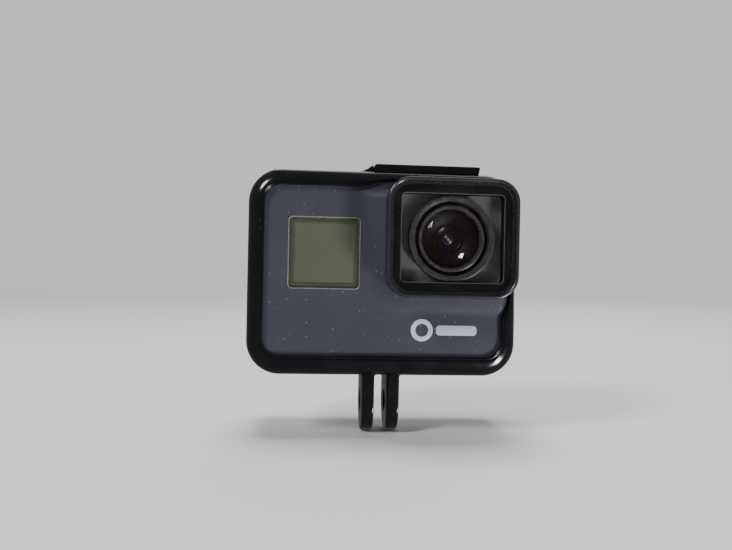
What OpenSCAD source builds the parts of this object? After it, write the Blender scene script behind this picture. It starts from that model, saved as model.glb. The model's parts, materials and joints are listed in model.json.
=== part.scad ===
// Action camera in its clip-in surround frame, with a two-prong finger mount.
// Millimetres. +Z is up and the lens looks along -Y. The origin is the centre of the finger
// mount's cross bore, whose axis is X.

/* [Camera body] */
// Width of the camera body
camera_w = 61.7; // [60:0.1:75]
// Height of the camera body
camera_h = 44.6; // [43:0.1:54]
// Depth of the camera body, from its face to its rear glass
camera_d = 24.5; // [24:0.1:30]
// Radius of the camera body's corners
camera_corner = 6; // [5.5:0.1:7]
// Thickness of the housing's walls
shell_t = 1.5; // [1.3:0.1:1.7]
// Depth of the front cover, from the face to the housing seam
front_cover_d = 7; // [6.5:0.1:7.5]
// Rounding around the edge of the face
face_edge_r = 0.9; // [0.5:0.1:1.2]
// Rounding around the rear edge
rear_edge_r = 1.5; // [0.8:0.1:1.8]
// Distance of the face ahead of the finger mount's bore
face_ahead = 10; // [9:0.1:11]

/* [Status screen] */
// Side of the square status window
screen_size = 16.85; // [15:0.05:17.5]
// Distance of the window's centre from the body's left side
screen_from_side = 16.29; // [15.5:0.01:16.5]
// Distance of the window's centre from the body's top
screen_from_top = 18; // [17:0.1:20]
// Width of the bright rim around the window
screen_rim = 0.3; // [0.2:0.05:0.5]
// Length of the badge on the face
badge_l = 16.2; // [12:0.1:17]
// Height of the badge
badge_h = 5.4; // [4:0.1:6]

/* [Lens and its cover] */
// Radius of the front lens element
glass_r = 6.9; // [6:0.1:8.3]
// Wall of the lens barrel around the front element
barrel_wall = 1; // [0.8:0.1:1.2]
// Dark groove between the barrel and the bayonet collar
groove_w = 0.85; // [0.6:0.05:1]
// Wall of the bayonet collar
collar_wall = 1.35; // [1.2:0.05:1.5]
// Width of the lens cover's frame at its sides
cover_border_x = 3.5; // [3:0.1:4]
// Width of the lens cover's frame above and below its window
cover_border_z = 3.75; // [3.5:0.05:4]
// Extra width of the cover's window over its height, which the bayonet lugs pass through
cover_window_extra = 3.6; // [3.4:0.1:4]
// How much tighter the lens cover's corners are than the camera body's
cover_corner_step = 0.5; // [0.2:0.1:0.8]
// How far the lens cover stands proud of the face
cover_proud = 8.5; // [8:0.1:10]
// Depth of the lens cover's frame
cover_d = 4.15; // [4.1:0.05:4.5]
// Thickness of the cover glass
cover_glass_t = 0.8; // [0.6:0.1:0.9]
// Radius of the fillet where the lens housing rises from the face
shoulder_r = 4; // [2:0.1:4]

/* [Surround frame] */
// Thickness of the frame's side walls
frame_wall = 2; // [1.8:0.1:2.5]
// Thickness of the frame's top wall
roof_t = 2.05; // [1.9:0.05:2.6]
// Thickness of the frame's bottom wall
floor_t = 2.85; // [2.4:0.05:3.5]
// Depth of the frame, from the crest of its lip to its back
frame_d = 24.5; // [24:0.1:25]
// How far the lip reaches over the camera's face
lip_reach = 2.1; // [1.5:0.1:2.4]
// How far the crest of the lip stands ahead of the face
lip_crest = 1.2; // [1:0.1:1.5]
// Radius of the frame's rounded front edge
frame_edge_r = 4.1; // [3:0.1:4.5]
// Clearance between the camera and the frame
camera_gap = 0.15; // [0.1:0.05:0.3]

/* [Frame latch] */
// Length of the latch lever
lever_l = 26.5; // [24:0.1:29]
// Thickness of the latch lever
lever_t = 2; // [1.8:0.1:2.4]
// Width of the latch lever, front to back
lever_w = 14; // [12:0.1:14]
// Distance of the lever's free end from the frame's right side
lever_from_side = 9.2; // [8.5:0.1:11]
// Radius of the latch hinge pin
latch_pin_r = 0.6; // [0.4:0.05:0.7]

/* [Finger mount] */
// Thickness of one prong
finger_t = 3; // [2.8:0.05:3.2]
// Gap between the two prongs
finger_gap = 3.17; // [3:0.01:3.4]
// Radius of the prongs' round ends
finger_r = 7.5; // [6.5:0.1:7.5]
// Radius of the prongs' cross bore
bore_r = 2.5; // [2:0.05:3]
// Distance from the bore's centre up to the frame
finger_drop = 7.55; // [7.5:0.05:10]

/* [Buttons] */
// Length of the shutter button
shutter_l = 11; // [9:0.1:13]
// Width of the shutter button
shutter_w = 7.5; // [6:0.1:8.5]
// Length of the mode button
mode_l = 9; // [8:0.1:10]
// Height of the mode button
mode_h = 3.4; // [3:0.1:4]
// Travel of both buttons
button_travel = 0.4; // [0.3:0.05:0.4]
// Clearance around a button in its hole
button_gap = 0.1; // [0.06:0.01:0.15]

/* [Side door] */
// Height of the side door
door_h = 20; // [16.7:0.1:24]
// Width of the side door, front to back
door_w = 11.6; // [11:0.1:12]
// Thickness of the side door
door_t = 1.2; // [1:0.05:1.3]
// Distance of the door's bottom edge from the body's bottom
door_from_bottom = 6.65; // [6.4:0.05:7]
// Clearance around the door
door_gap = 0.1; // [0.08:0.01:0.15]

/* [Battery and boards] */
// Thickness of the battery
battery_t = 10.2; // [9:0.1:10.3]
// Height of the battery
battery_h = 33.2; // [28:0.1:33.5]
// Thickness of the battery bay's walls
bay_t = 0.6; // [0.5:0.05:0.7]
// Clearance around the battery in its bay
battery_gap = 0.3; // [0.2:0.05:0.4]
// Thickness of the main board
board_t = 0.8; // [0.6:0.1:1]
// Thickness of the rear glass
rear_glass_t = 1; // [0.8:0.1:1.2]

/* [Hidden] */
$fn = 64;

// Colours
shell_black = [0.05, 0.05, 0.06];
soft_grey = [0.25, 0.26, 0.29];
trim_grey = [0.32, 0.32, 0.35];
board_green = [0.08, 0.3, 0.2];
bare_metal = [0.75, 0.76, 0.78];
gold = [0.8, 0.65, 0.3];
seal_red = [0.55, 0.2, 0.15];
lens_tint = [0.25, 0.3, 0.45];

// Small steps used in cuts and stacks
cut = 1;            // how far a cutter runs past the face that it cuts
sit = 0.05;         // air left between inner parts that only stand near each other
turn_gap = 0.15;    // air between parts that turn past each other

// Camera body planes and centres
face_y = -face_ahead;
camera_back = face_y + camera_d;
seam_y = face_y + front_cover_d;
camera_bottom = finger_drop + floor_t + camera_gap;
camera_top = camera_bottom + camera_h;
camera_z = camera_bottom + camera_h / 2;
camera_right = camera_w / 2;
face_t = 1.6;                                // thickness of the face plate
housing_seal_d = 0.5;                        // depth of the gasket in the seam
rear_wall_y = camera_back - rear_glass_t - shell_t;
glass_margin = 2;                            // rear glass seat inside the body's outline
panel_w = camera_w - 11.1;                   // touch panel behind the rear glass
panel_h = camera_h - 9;
panel_gap = 0.2;

// Surround frame
cavity_w = camera_w + 2 * camera_gap;
cavity_h = camera_h + 2 * camera_gap;
cavity_corner = camera_corner + camera_gap;
frame_w = cavity_w + 2 * frame_wall;
frame_h = cavity_h + roof_t + floor_t;
frame_corner = cavity_corner + frame_wall;
frame_bottom = finger_drop;
frame_top = frame_bottom + frame_h;
frame_z = frame_bottom + frame_h / 2;
frame_front = face_y - lip_crest;
frame_back = frame_front + frame_d;
frame_rear_r = 0.8;                          // rounding of the frame's back edge

// Lens axis, housing and cover
barrel_r = glass_r + barrel_wall;
bore_wall_r = barrel_r + groove_w;
collar_r = bore_wall_r + collar_wall;
window_h = 2 * (collar_r + turn_gap);
window_w = window_h + cover_window_extra;
cover_w = window_w + 2 * cover_border_x;
cover_h = window_h + 2 * cover_border_z;
cover_corner = camera_corner - cover_corner_step;
cover_inset = 0.15;                          // cover's edge inside the body's side and top
lens_x = camera_right - cover_inset - cover_w / 2;
lens_z = camera_top - cover_inset - cover_h / 2;
cover_front = face_y - cover_proud;
housing_front = cover_front + cover_d + turn_gap;
housing_inset = 0.25;                        // housing's edge inside the cover's edge
housing_w = cover_w - 2 * housing_inset;
housing_h = cover_h - 2 * housing_inset;
housing_corner = cover_corner - housing_inset;
cover_rim = 0.95;                            // width of the cover's bright rim
glass_recess = 0.3;                          // cover glass below the rim
seat_y = cover_front + glass_recess + cover_glass_t;
lug_groove_y = seat_y + 0.8;
lug_groove_d = 1;
lug_reach = 1.5;                             // bayonet lugs beyond the collar
lug_w = 8;
plate_t = 0.9;
plate_margin = 0.35;                         // plate beyond the cover's window, on each side
plate_corner = 1.3;
plate_floor_y = housing_front + plate_t + 0.1;
bore_tube_wall = 1.4;
trim_front = housing_front - 1.4;

// Lens stack, front to back
element_rim_y = housing_front;
element_rim_t = 1;
barrel_front = element_rim_y - 0.2;
dome_sphere_r = 1.6 * glass_r;
spacer_y = element_rim_y + element_rim_t + sit;
spacer_d = 0.95;
baffle_y = spacer_y + spacer_d + sit;
baffle_d = 1.05;
inner_glass_r = glass_r - 2.2;
barrel_step_y = baffle_y + baffle_d;
barrel_waist_y = barrel_step_y + 9;
barrel_back = barrel_waist_y + 5.4;
waist_r = inner_glass_r + 0.9;
waist_bore_r = inner_glass_r - 0.4;
baffle_throat_r = glass_r / 2;
second_y = barrel_step_y + 0.3;
third_y = barrel_step_y + 3.6;
fourth_y = barrel_step_y + 6.2;
fifth_y = barrel_waist_y + 1.4;
filter_side = 8.6;
holder_y = barrel_back;
holder_d = 1.6;
holder_half = 7.5;
sensor_board_y = holder_y + holder_d;
sensor_board_half = 7.7;

// Lens notch in the frame's lip
notch_margin = 1;
notch_left = lens_x - cover_w / 2 - shoulder_r - notch_margin;
notch_bottom = lens_z - cover_h / 2 - shoulder_r - notch_margin;

// Status screen
screen_x = -camera_right + screen_from_side;
screen_z = camera_top - screen_from_top;
screen_corner = 0.8;
screen_hole = screen_size + 2 * screen_rim;
bezel_d = 1.2;
lcd_size = screen_size + 2;
lcd_t = 1.3;
backlight_t = 0.6;
badge_x = camera_right - 16;
badge_z = camera_bottom + 8.35;
badge_t = 0.15;
badge_line = 1.1;                            // width of the badge's ring
badge_space = 0.8;                           // space between the ring and the bar
badge_bar_h = badge_h - 3;

// Boards and their screws
board_y = rear_wall_y - 1.8;
boss_x = camera_right - 5.95;
boss_drop = 4.05;
boss_r = 1.6;
screw_r = 0.7;
screw_head_r = 1.25;
screw_head_t = 0.8;
screw_l = 5;
boss_low_z = camera_bottom + boss_drop;
boss_high_z = camera_top - boss_drop;
chip_side = 12;
shield_side = 15;
shield_d = 1.5;
spreader_t = 0.85;

// Memory card and its slot
card_size = [11, 1, 14.5];
card_slot_size = [14, 1.9, 15];
slot_sheet = 0.3;
card_low = [lens_x - card_slot_size[0] / 2, board_y - card_slot_size[1] - sit, camera_bottom + 3.5];

// Battery, its bay and its door
bay_left = -boss_x + boss_r + 0.4;
bay_right = lens_x - bore_wall_r - bore_tube_wall - 0.6;
bay_back = board_y - 0.3;
bay_front = bay_back - battery_t - 2 * (battery_gap + bay_t);
bay_x = (bay_left + bay_right) / 2;
bay_w = bay_right - bay_left;
bay_y = (bay_front + bay_back) / 2;
bay_depth = bay_back - bay_front;
bay_bottom = camera_bottom + shell_t + 0.25;
battery_z = bay_bottom + 0.45;
bay_top = battery_z + battery_h + battery_gap + bay_t;
contact_l = 9.6;
contact_w = 5.6;
contact_pitch = 1.6;
antenna_x = 7.5;
antenna_y = 7;
antenna_l = 16;
battery_door_t = 1.2;
battery_door_gap = 0.12;
battery_door_corner = 1.5;
catch_l = 4.6;
catch_w = 2.8;
catch_t = 0.65;
catch_travel = 1;
catch_x = bay_left + 5.5;

// Buttons
shutter_x = screen_x;
shutter_y = 2;
mode_y = 2;
mode_z = camera_z + 5.2;
mode_window_reach = 19;                      // frame's side window below the mode button
flange_t = 0.5;
flange_reach = 0.6;
switch_gap = button_travel + 0.05;
ring_inset = 1;                              // coloured ring inside the shutter button's edge
ring_line = 0.6;
ring_t = 0.4;
shutter_window_w = 14;
shutter_window_d = 11.5;
mode_window_w = 13;
mode_window_top = mode_z + mode_h / 2 + 3.5;
mode_window_bottom = mode_z - mode_window_reach;

// Side door and ports
door_y = 4.3;
door_axis_x = camera_right - door_t / 2;
door_bottom = camera_bottom + door_from_bottom;
door_axis_z = door_bottom + door_t / 2;
door_top = door_bottom + door_h;
door_seal_t = 0.6;
door_seal_inset = 1.5;
door_seal_w = 0.9;
door_pin_r = 0.35;
door_pin_l = 0.6;
pin_gap = 0.05;                              // running clearance around every hinge pin
port_recess = 0.6;                           // air behind the door's seal
port_block_t = 2;
port_block_margin = 1.1;
latch_l = 3.6;
latch_w = 5;
latch_t = 0.7;
latch_travel = 1.2;
latch_z = door_top - 5.6;
door_window_below = 1.6;
door_window_around = 1.3;
usb_w = 8.94;
usb_t = 3.26;
usb_l = 6;
usb_z = door_bottom + 0.265 * door_h;
video_w = 6.5;
video_t = 2.9;
video_z = door_bottom + 0.751 * door_h;
socket_mouth_x = camera_right - 1.95;
port_board_y = door_y + 0.7;
port_board_t = 0.7;

// Latch
lever_gap = 0.08;
lever_right = frame_w / 2 - lever_from_side;
lever_left = lever_right - lever_l;
lever_bottom = frame_top + lever_gap;
lever_top = lever_bottom + lever_t;
lever_pin_x = lever_right - 1.3;
lever_pin_z = lever_bottom + lever_t / 2;
lug_y = 3.4;
lug_d = 2;
lug_r = 1.1;
lug_slot_gap = 0.1;
lug_slot_l = 1.8;                            // lever's slots ahead of the pin
latch_pin_l = 2 * lug_y + lug_d + 3;
heel_r = norm([lever_right - lever_pin_x, lever_t / 2]) + turn_gap;
tooth_x = lever_left + 1.9;
tooth_l = 1.4;
tooth_w = 8;
tooth_d = 1;
tooth_gap = 0.3;
boss_ramp_l = 5;
boss_ramp_w = 12;
split_w = 0.4;
split_x = tooth_x + 8;

// ---------------------------------------------------------------- shared shapes

// Rectangle with round corners, centred
module rounded_rect(w, h, r) {
  square([w - 2 * r, h], center = true);
  square([w, h - 2 * r], center = true);
  for (sx = [-1, 1], sy = [-1, 1])
    translate([sx * (w / 2 - r), sy * (h / 2 - r)]) circle(r);
}

// Turns a shape drawn on the ground so that its height runs back along +Y from y
module facing_front(y) translate([0, y, 0]) rotate([90, 0, 0]) mirror([0, 0, 1]) children();

// Upright plate with round corners, centred at x and z, from y0 back to y1
module plate(x, z, w, h, r, y0, y1)
  facing_front(y0) translate([x, z, 0]) linear_extrude(y1 - y0) rounded_rect(w, h, r);

// Disc or rod along Y from y0 back to y1
module rod_y(x, z, r, y0, y1) facing_front(y0) translate([x, z, 0]) cylinder(r = r, h = y1 - y0);

// Ring along Y
module ring_y(x, z, r_in, r_out, y0, y1) difference() {
  rod_y(x, z, r_out, y0, y1);
  rod_y(x, z, r_in, y0 - cut, y1 + cut);
}

// Rod along X from x0 to x1
module rod_x(x0, x1, y, z, r) translate([x0, y, z]) rotate([0, 90, 0]) cylinder(r = r, h = x1 - x0);

// Plate standing across X, from x0 to x1, centred at y and z
module side_plate(x0, x1, y, z, w, h, r)
  translate([x0, y, z]) rotate([90, 0, 90]) linear_extrude(x1 - x0) rounded_rect(w, h, r);

// Flat plate from z0 to z1, centred at x and y
module flat_plate(x, y, z0, z1, w, d, r)
  translate([x, y, z0]) linear_extrude(z1 - z0) rounded_rect(w, d, r);

// Block between two opposite corners
module block(low, high) translate(low) cube(high - low);

// Sweeps a profile around a rounded rectangle; x runs outwards from the corners' axes
module rim_sweep(w, h, r) for (q = [0:3]) rotate(q * 90) {
  run_x = (q % 2 == 0 ? w : h) / 2 - r;
  run_y = (q % 2 == 0 ? h : w) / 2 - r;
  translate([run_x, run_y, 0]) rotate_extrude(angle = 90) children();
  translate([run_x, 0, 0]) rotate([90, 0, 0]) linear_extrude(2 * run_y, center = true) children();
}

// Slab with a rounded outline whose front rim, and back rim if asked, are rounded too
module soft_slab(w, h, corner, depth, front_r, back_r) {
  rim_sweep(w, h, corner) intersection() {
    square([corner, depth]);
    union() {
      translate([0, front_r]) square([corner, depth - front_r - back_r]);
      square([corner - front_r, depth / 2]);
      translate([corner - front_r, front_r]) circle(front_r);
      translate([0, depth / 2]) square([corner - back_r, depth / 2]);
      if (back_r > 0) translate([corner - back_r, depth - back_r]) circle(back_r);
    }
  }
  translate([corner - w / 2, corner - h / 2, 0]) cube([w - 2 * corner, h - 2 * corner, depth]);
}

// Outline of the camera body, shrunk by inset, from y0 back to y1
module camera_plate(inset, y0, y1)
  plate(0, camera_z, camera_w - 2 * inset, camera_h - 2 * inset, camera_corner - inset, y0, y1);

// ---------------------------------------------------------------- surround frame and latch

// The whole frame ring, before the finger insert and the windows are taken out
module frame_ring() difference() {
  facing_front(frame_front) translate([0, frame_z, 0])
    soft_slab(frame_w, frame_h, frame_corner, frame_d, frame_edge_r, frame_rear_r);
  camera_plate(-camera_gap, face_y - camera_gap, frame_back + cut);
  camera_plate(lip_reach - camera_gap, frame_front - cut, face_y);
  intersection() {
    camera_plate(-camera_gap, frame_front - cut, face_y);
    block([notch_left, frame_front - cut, notch_bottom], [frame_w, face_y + cut, frame_top + cut]);
  }
}

// The stretch of the bottom wall that belongs to the finger insert
module insert_zone()
  block([-finger_gap / 2 - finger_t, frame_front - cut, frame_bottom - cut],
        [finger_gap / 2 + finger_t, finger_r, camera_z]);

module frame_windows() {
  // over the side door
  side_plate(camera_right - cut, frame_w / 2 + cut, door_y,
    (door_bottom - door_window_below + door_top + door_window_around) / 2,
    door_w + 2 * door_window_around, door_h + door_window_below + door_window_around, 1.5);
  // over the mode button and the speaker
  side_plate(-frame_w / 2 - cut, cut - camera_right, mode_y,
    (mode_window_top + mode_window_bottom) / 2,
    mode_window_w, mode_window_top - mode_window_bottom, 1.5);
  // over the shutter button
  flat_plate(shutter_x, shutter_y, camera_top - cut, frame_top + cut,
    shutter_window_w, shutter_window_d, 2);
}

module latch_lug(y) {
  rod_y(lever_pin_x, lever_pin_z, lug_r, y - lug_d / 2, y + lug_d / 2);
  block([lever_pin_x - lug_r, y - lug_d / 2, frame_top - roof_t / 2],
        [lever_pin_x + lug_r, y + lug_d / 2, lever_pin_z]);
}

// Sloped rise that meets the lever's free end
module latch_ramp() facing_front(-boss_ramp_w / 2) linear_extrude(boss_ramp_w) polygon([
  [lever_left - boss_ramp_l, frame_top - roof_t / 2],
  [lever_left - boss_ramp_l, frame_top],
  [lever_left - boss_ramp_l / 2, frame_top + lever_t * 0.3],
  [lever_left - turn_gap - 0.6, lever_top - 0.3],
  [lever_left - turn_gap, lever_top - 0.3],
  [lever_left - turn_gap, frame_top - roof_t / 2]
]);

module frame_shell() color(shell_black) difference() {
  union() {
    difference() {
      frame_ring();
      insert_zone();
      frame_windows();
      rod_y(lever_pin_x, lever_pin_z, heel_r, -lever_w / 2 - turn_gap, lever_w / 2 + turn_gap);
      block([tooth_x - tooth_l / 2 - tooth_gap, -tooth_w / 2 - tooth_gap, lever_bottom - tooth_d - 0.2],
            [tooth_x + tooth_l / 2 + tooth_gap, tooth_w / 2 + tooth_gap, frame_top + cut]);
      block([split_x, frame_front - cut, camera_top - cut],
            [split_x + split_w, frame_back + cut, frame_top + cut]);
    }
    for (side = [-1, 1]) latch_lug(side * lug_y);
    latch_ramp();
  }
  rod_y(lever_pin_x, lever_pin_z, latch_pin_r, -lever_w, lever_w);
}

module prong(x0) {
  rod_x(x0, x0 + finger_t, 0, 0, finger_r);
  block([x0, -finger_r, 0], [x0 + finger_t, finger_r, frame_bottom + floor_t / 2]);
}

module mount_fingers() color(shell_black) difference() {
  union() {
    intersection() {
      frame_ring();
      insert_zone();
    }
    prong(-finger_gap / 2 - finger_t);
    prong(finger_gap / 2);
  }
  rod_x(-frame_w, frame_w, 0, 0, bore_r);
}

module latch_pin() color(bare_metal)
  rod_y(lever_pin_x, lever_pin_z, latch_pin_r, -latch_pin_l / 2, latch_pin_l / 2);

module latch_lever() color(shell_black) difference() {
  union() {
    facing_front(-lever_w / 2) linear_extrude(lever_w) polygon([
      [lever_left, lever_bottom], [lever_right, lever_bottom],
      [lever_right, lever_top - 0.5], [lever_right - 0.4, lever_top],
      [lever_left + 0.4, lever_top], [lever_left, lever_top - 0.4]
    ]);
    block([tooth_x - tooth_l / 2, -tooth_w / 2, lever_bottom - tooth_d],
          [tooth_x + tooth_l / 2, tooth_w / 2, lever_bottom + cut]);
  }
  for (side = [-1, 1])
    block([lever_pin_x - lug_slot_l, side * lug_y - lug_d / 2 - lug_slot_gap, lever_bottom - cut],
          [lever_right + cut, side * lug_y + lug_d / 2 + lug_slot_gap, lever_top + cut]);
  rod_y(lever_pin_x, lever_pin_z, latch_pin_r + pin_gap,
    -latch_pin_l / 2 - 0.1, latch_pin_l / 2 + 0.1);
}

// ---------------------------------------------------------------- camera shells

// Concave fillet around the left and lower sides of the lens housing
module lens_shoulder() facing_front(face_y - shoulder_r) translate([lens_x, lens_z, 0]) {
  run_x = housing_w / 2 - housing_corner;
  run_z = housing_h / 2 - housing_corner;
  translate([-run_x, -run_z, 0]) rotate(180) rotate_extrude(angle = 90) shoulder_profile();
  translate([-run_x, 0, 0]) rotate([90, 0, 180]) linear_extrude(2 * run_z, center = true)
    shoulder_profile();
  translate([0, -run_z, 0]) rotate([90, 0, -90]) linear_extrude(2 * run_x, center = true)
    shoulder_profile();
}

module shoulder_profile() translate([housing_corner - cut, 0]) difference() {
  square([cut + shoulder_r, shoulder_r]);
  translate([cut + shoulder_r, 0]) circle(shoulder_r);
}

module front_cover() color(soft_grey) {
  difference() {
    union() {
      facing_front(face_y) translate([0, camera_z, 0])
        soft_slab(camera_w, camera_h, camera_corner, front_cover_d, face_edge_r, 0);
      plate(lens_x, lens_z, housing_w, housing_h, housing_corner, housing_front, face_y + face_t);
      lens_shoulder();
    }
    difference() {
      union() {
        camera_plate(shell_t, face_y + face_t, seam_y + cut);
        plate(lens_x, lens_z, housing_w - 2 * shell_t, housing_h - 2 * shell_t,
          housing_corner - shell_t, plate_floor_y + shell_t, face_y + face_t + cut);
      }
      rod_y(lens_x, lens_z, bore_wall_r + bore_tube_wall, plate_floor_y, face_y + face_t);
    }
    rod_y(lens_x, lens_z, bore_wall_r, housing_front - cut, seam_y);
    plate(lens_x, lens_z, window_w + 2 * (plate_margin + sit), window_h + 2 * (plate_margin + sit),
      plate_corner + sit, housing_front - cut, plate_floor_y);
    plate(screen_x, screen_z, screen_hole, screen_hole, screen_corner + screen_rim,
      face_y - cut, face_y + face_t + cut);
    badge_shape(face_y - cut, face_y + badge_t);
  }
  for (x = [-boss_x, boss_x], z = [boss_low_z, boss_high_z])
    ring_y(x, z, screw_r, boss_r, face_y + face_t, board_y);
}

module port_block() block(
  [camera_right - shell_t - port_block_t, door_y - door_w / 2 - port_block_margin,
    door_bottom - port_block_margin],
  [camera_right - shell_t + cut / 2, door_y + door_w / 2 + port_block_margin,
    door_top + port_block_margin]);

// Everything that the side door and its ports need cut away
module port_cuts() {
  block([door_axis_x - door_t / 2 - door_gap / 2, door_y - door_w / 2 - door_gap, door_axis_z],
        [camera_right + cut, door_y + door_w / 2 + door_gap, door_top + door_gap]);
  rod_y(door_axis_x, door_axis_z, door_t / 2 + door_gap,
    door_y - door_w / 2 - door_gap, door_y + door_w / 2 + door_gap);
  block([door_axis_x, door_y - door_w / 2 - door_gap, door_axis_z - door_t / 2 - door_gap],
        [camera_right + cut, door_y + door_w / 2 + door_gap, door_axis_z + cut]);
  rod_y(door_axis_x, door_axis_z, door_pin_r + pin_gap,
    door_y - door_w / 2 - door_pin_l - turn_gap, door_y + door_w / 2 + door_pin_l + turn_gap);
  side_plate(door_axis_x - door_t / 2 - door_seal_t - port_recess, camera_right, door_y,
    (door_axis_z + door_top) / 2,
    door_w - 2 * door_seal_inset + 1, door_h - 2 * door_seal_inset + 1.6, 0.8);
  for (socket = [[usb_z, usb_w, usb_t], [video_z, video_w, video_t]])
    block([camera_right - shell_t - port_block_t - cut,
            port_board_y - socket[2] - sit, socket[0] - socket[1] / 2 - sit],
          [camera_right - shell_t, port_board_y + sit, socket[0] + socket[1] / 2 + sit]);
}

module rear_housing() color(shell_black) difference() {
  union() {
    difference() {
      facing_front(seam_y) translate([0, camera_z, 0])
        soft_slab(camera_w, camera_h, camera_corner, camera_back - seam_y, 0, rear_edge_r);
      camera_plate(shell_t, seam_y - cut, rear_wall_y);
    }
    port_block();
  }
  plate(0, camera_z, panel_w + 2 * panel_gap, panel_h + 2 * panel_gap, 1,
    rear_wall_y - cut, camera_back + cut);
  camera_plate(glass_margin, camera_back - rear_glass_t, camera_back + cut);
  seal_ring(seam_y - cut, seam_y + housing_seal_d);
  port_cuts();
  flat_plate(shutter_x, shutter_y, camera_top - shell_t - cut, camera_top + cut,
    shutter_l + 2 * button_gap, shutter_w + 2 * button_gap, shutter_w / 2);
  side_plate(-camera_right - cut, cut - camera_right + shell_t, mode_y, mode_z,
    mode_l + 2 * button_gap, mode_h + 2 * button_gap, mode_h / 2);
  flat_plate(bay_x, bay_y, camera_bottom - cut, camera_bottom + shell_t + cut,
    bay_w + 2 * battery_door_gap, bay_depth + 2 * battery_door_gap,
    battery_door_corner + battery_door_gap);
  for (row = [0:3])
    side_plate(-camera_right - cut, cut - camera_right + shell_t, mode_y,
      slot_low_z + slot_pitch * row, slot_l, slot_w, slot_w / 2 - 0.01);
  for (mic = microphone_places)
    translate([mic[0], mic[1], camera_top - shell_t - cut]) cylinder(r = mic_hole_r, h = shell_t + 2 * cut);
  translate([light_x, shutter_y, camera_top - shell_t - cut])
    cylinder(r = light_r, h = shell_t + 2 * cut);
}

// Square-section ring that runs in the middle of the housing's wall
module seal_ring(y0, y1) difference() {
  camera_plate(shell_t * 0.3, y0, y1);
  camera_plate(shell_t * 0.7, y0 - cut, y1 + cut);
}

module housing_seal() color(seal_red) seal_ring(seam_y, seam_y + housing_seal_d);

// Plain ring and bar, flush in the face
module badge_shape(y0, y1) {
  ring_x = badge_x - badge_l / 2 + badge_h / 2;
  bar_left = ring_x + badge_h / 2 + badge_space;
  bar_l = badge_x + badge_l / 2 - bar_left;
  ring_y(ring_x, badge_z, badge_h / 2 - badge_line, badge_h / 2, y0, y1);
  plate(bar_left + bar_l / 2, badge_z, bar_l, badge_bar_h, 0.375 * badge_bar_h, y0, y1);
}

module face_badge() color([0.69, 0.74, 0.77]) badge_shape(face_y, face_y + badge_t);

// ---------------------------------------------------------------- status screen

module screen_bezel() color(trim_grey) difference() {
  plate(screen_x, screen_z, screen_hole, screen_hole, screen_corner + screen_rim,
    face_y - 0.05, face_y + bezel_d);
  plate(screen_x, screen_z, screen_size, screen_size, screen_corner,
    face_y - cut, face_y + bezel_d + cut);
}

module screen_window() color([0.3, 0.32, 0.25])
  plate(screen_x, screen_z, screen_size, screen_size, screen_corner,
    face_y + 0.3, face_y + bezel_d - 0.1);

module status_lcd() color([0.28, 0.3, 0.23])
  plate(screen_x, screen_z, lcd_size, lcd_size, 0.5,
    face_y + face_t + sit, face_y + face_t + sit + lcd_t);

module lcd_backlight() color("white")
  plate(screen_x, screen_z, lcd_size, lcd_size, 0.5, face_y + face_t + lcd_t + 2 * sit,
    face_y + face_t + lcd_t + 2 * sit + backlight_t);

// ---------------------------------------------------------------- lens

// Solid of revolution about the lens axis; x is the radius and y the depth behind y0
module lens_turn(y0) facing_front(y0) translate([lens_x, lens_z, 0]) rotate_extrude() children();

module lens_plate() color([0.2, 0.2, 0.22]) difference() {
  plate(lens_x, lens_z, window_w + 2 * plate_margin, window_h + 2 * plate_margin, plate_corner,
    plate_floor_y - plate_t, plate_floor_y);
  rod_y(lens_x, lens_z, collar_r + sit, plate_floor_y - plate_t - cut, plate_floor_y + cut);
}

module bayonet_collar() color(shell_black) difference() {
  union() {
    rod_y(lens_x, lens_z, collar_r, lug_groove_y + turn_gap, plate_floor_y);
    intersection() {
      rod_y(lens_x, lens_z, collar_r + lug_reach,
        lug_groove_y + turn_gap, lug_groove_y + lug_groove_d - turn_gap);
      plate(lens_x, lens_z, lug_w, 4 * collar_r, 0.5, cover_front, housing_front);
    }
  }
  rod_y(lens_x, lens_z, bore_wall_r, cover_front, plate_floor_y + cut);
}

module lens_trim_ring() color([0.14, 0.14, 0.15]) lens_turn(trim_front) polygon([
  [glass_r + 0.45, 0], [barrel_r - 0.15, 0], [barrel_r, 0.2],
  [barrel_r, barrel_front - trim_front], [glass_r, barrel_front - trim_front], [glass_r, 0.9]
]);

module lens_barrel() color(shell_black) lens_turn(barrel_front) {
  waist = barrel_waist_y - barrel_front;
  step = barrel_step_y - barrel_front;
  whole = barrel_back - barrel_front;
  translate([glass_r, 0]) square([barrel_r - glass_r, step]);
  translate([inner_glass_r, step]) square([barrel_r - inner_glass_r, waist - step]);
  translate([waist_bore_r, waist - 1]) square([barrel_r - waist_bore_r, 1]);
  translate([waist_bore_r, waist]) square([waist_r - waist_bore_r, whole - waist]);
}

module lens_seal() color(seal_red)
  ring_y(lens_x, lens_z, barrel_r, bore_wall_r, plate_floor_y + 1, plate_floor_y + 1.8);

module lens_spacer() color(shell_black)
  ring_y(lens_x, lens_z, glass_r - 1.3, glass_r - 0.05, spacer_y, spacer_y + spacer_d);

// Dome that bulges forward from a thin cylindrical rim
module front_element() color(lens_tint) lens_turn(element_rim_y) {
  square([glass_r, element_rim_t]);
  rise = dome_sphere_r - sqrt(pow(dome_sphere_r, 2) - pow(glass_r, 2));
  intersection() {
    translate([0, dome_sphere_r - rise]) circle(dome_sphere_r, $fn = 128);
    translate([0, -rise]) square([glass_r, rise + element_rim_t / 2]);
  }
}

module lens_baffle() color(shell_black) lens_turn(baffle_y) polygon([
  [glass_r - 1, 0], [glass_r - 0.05, 0], [glass_r - 0.05, baffle_d], [baffle_throat_r, baffle_d],
  [baffle_throat_r, baffle_d - 0.2]
]);

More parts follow.
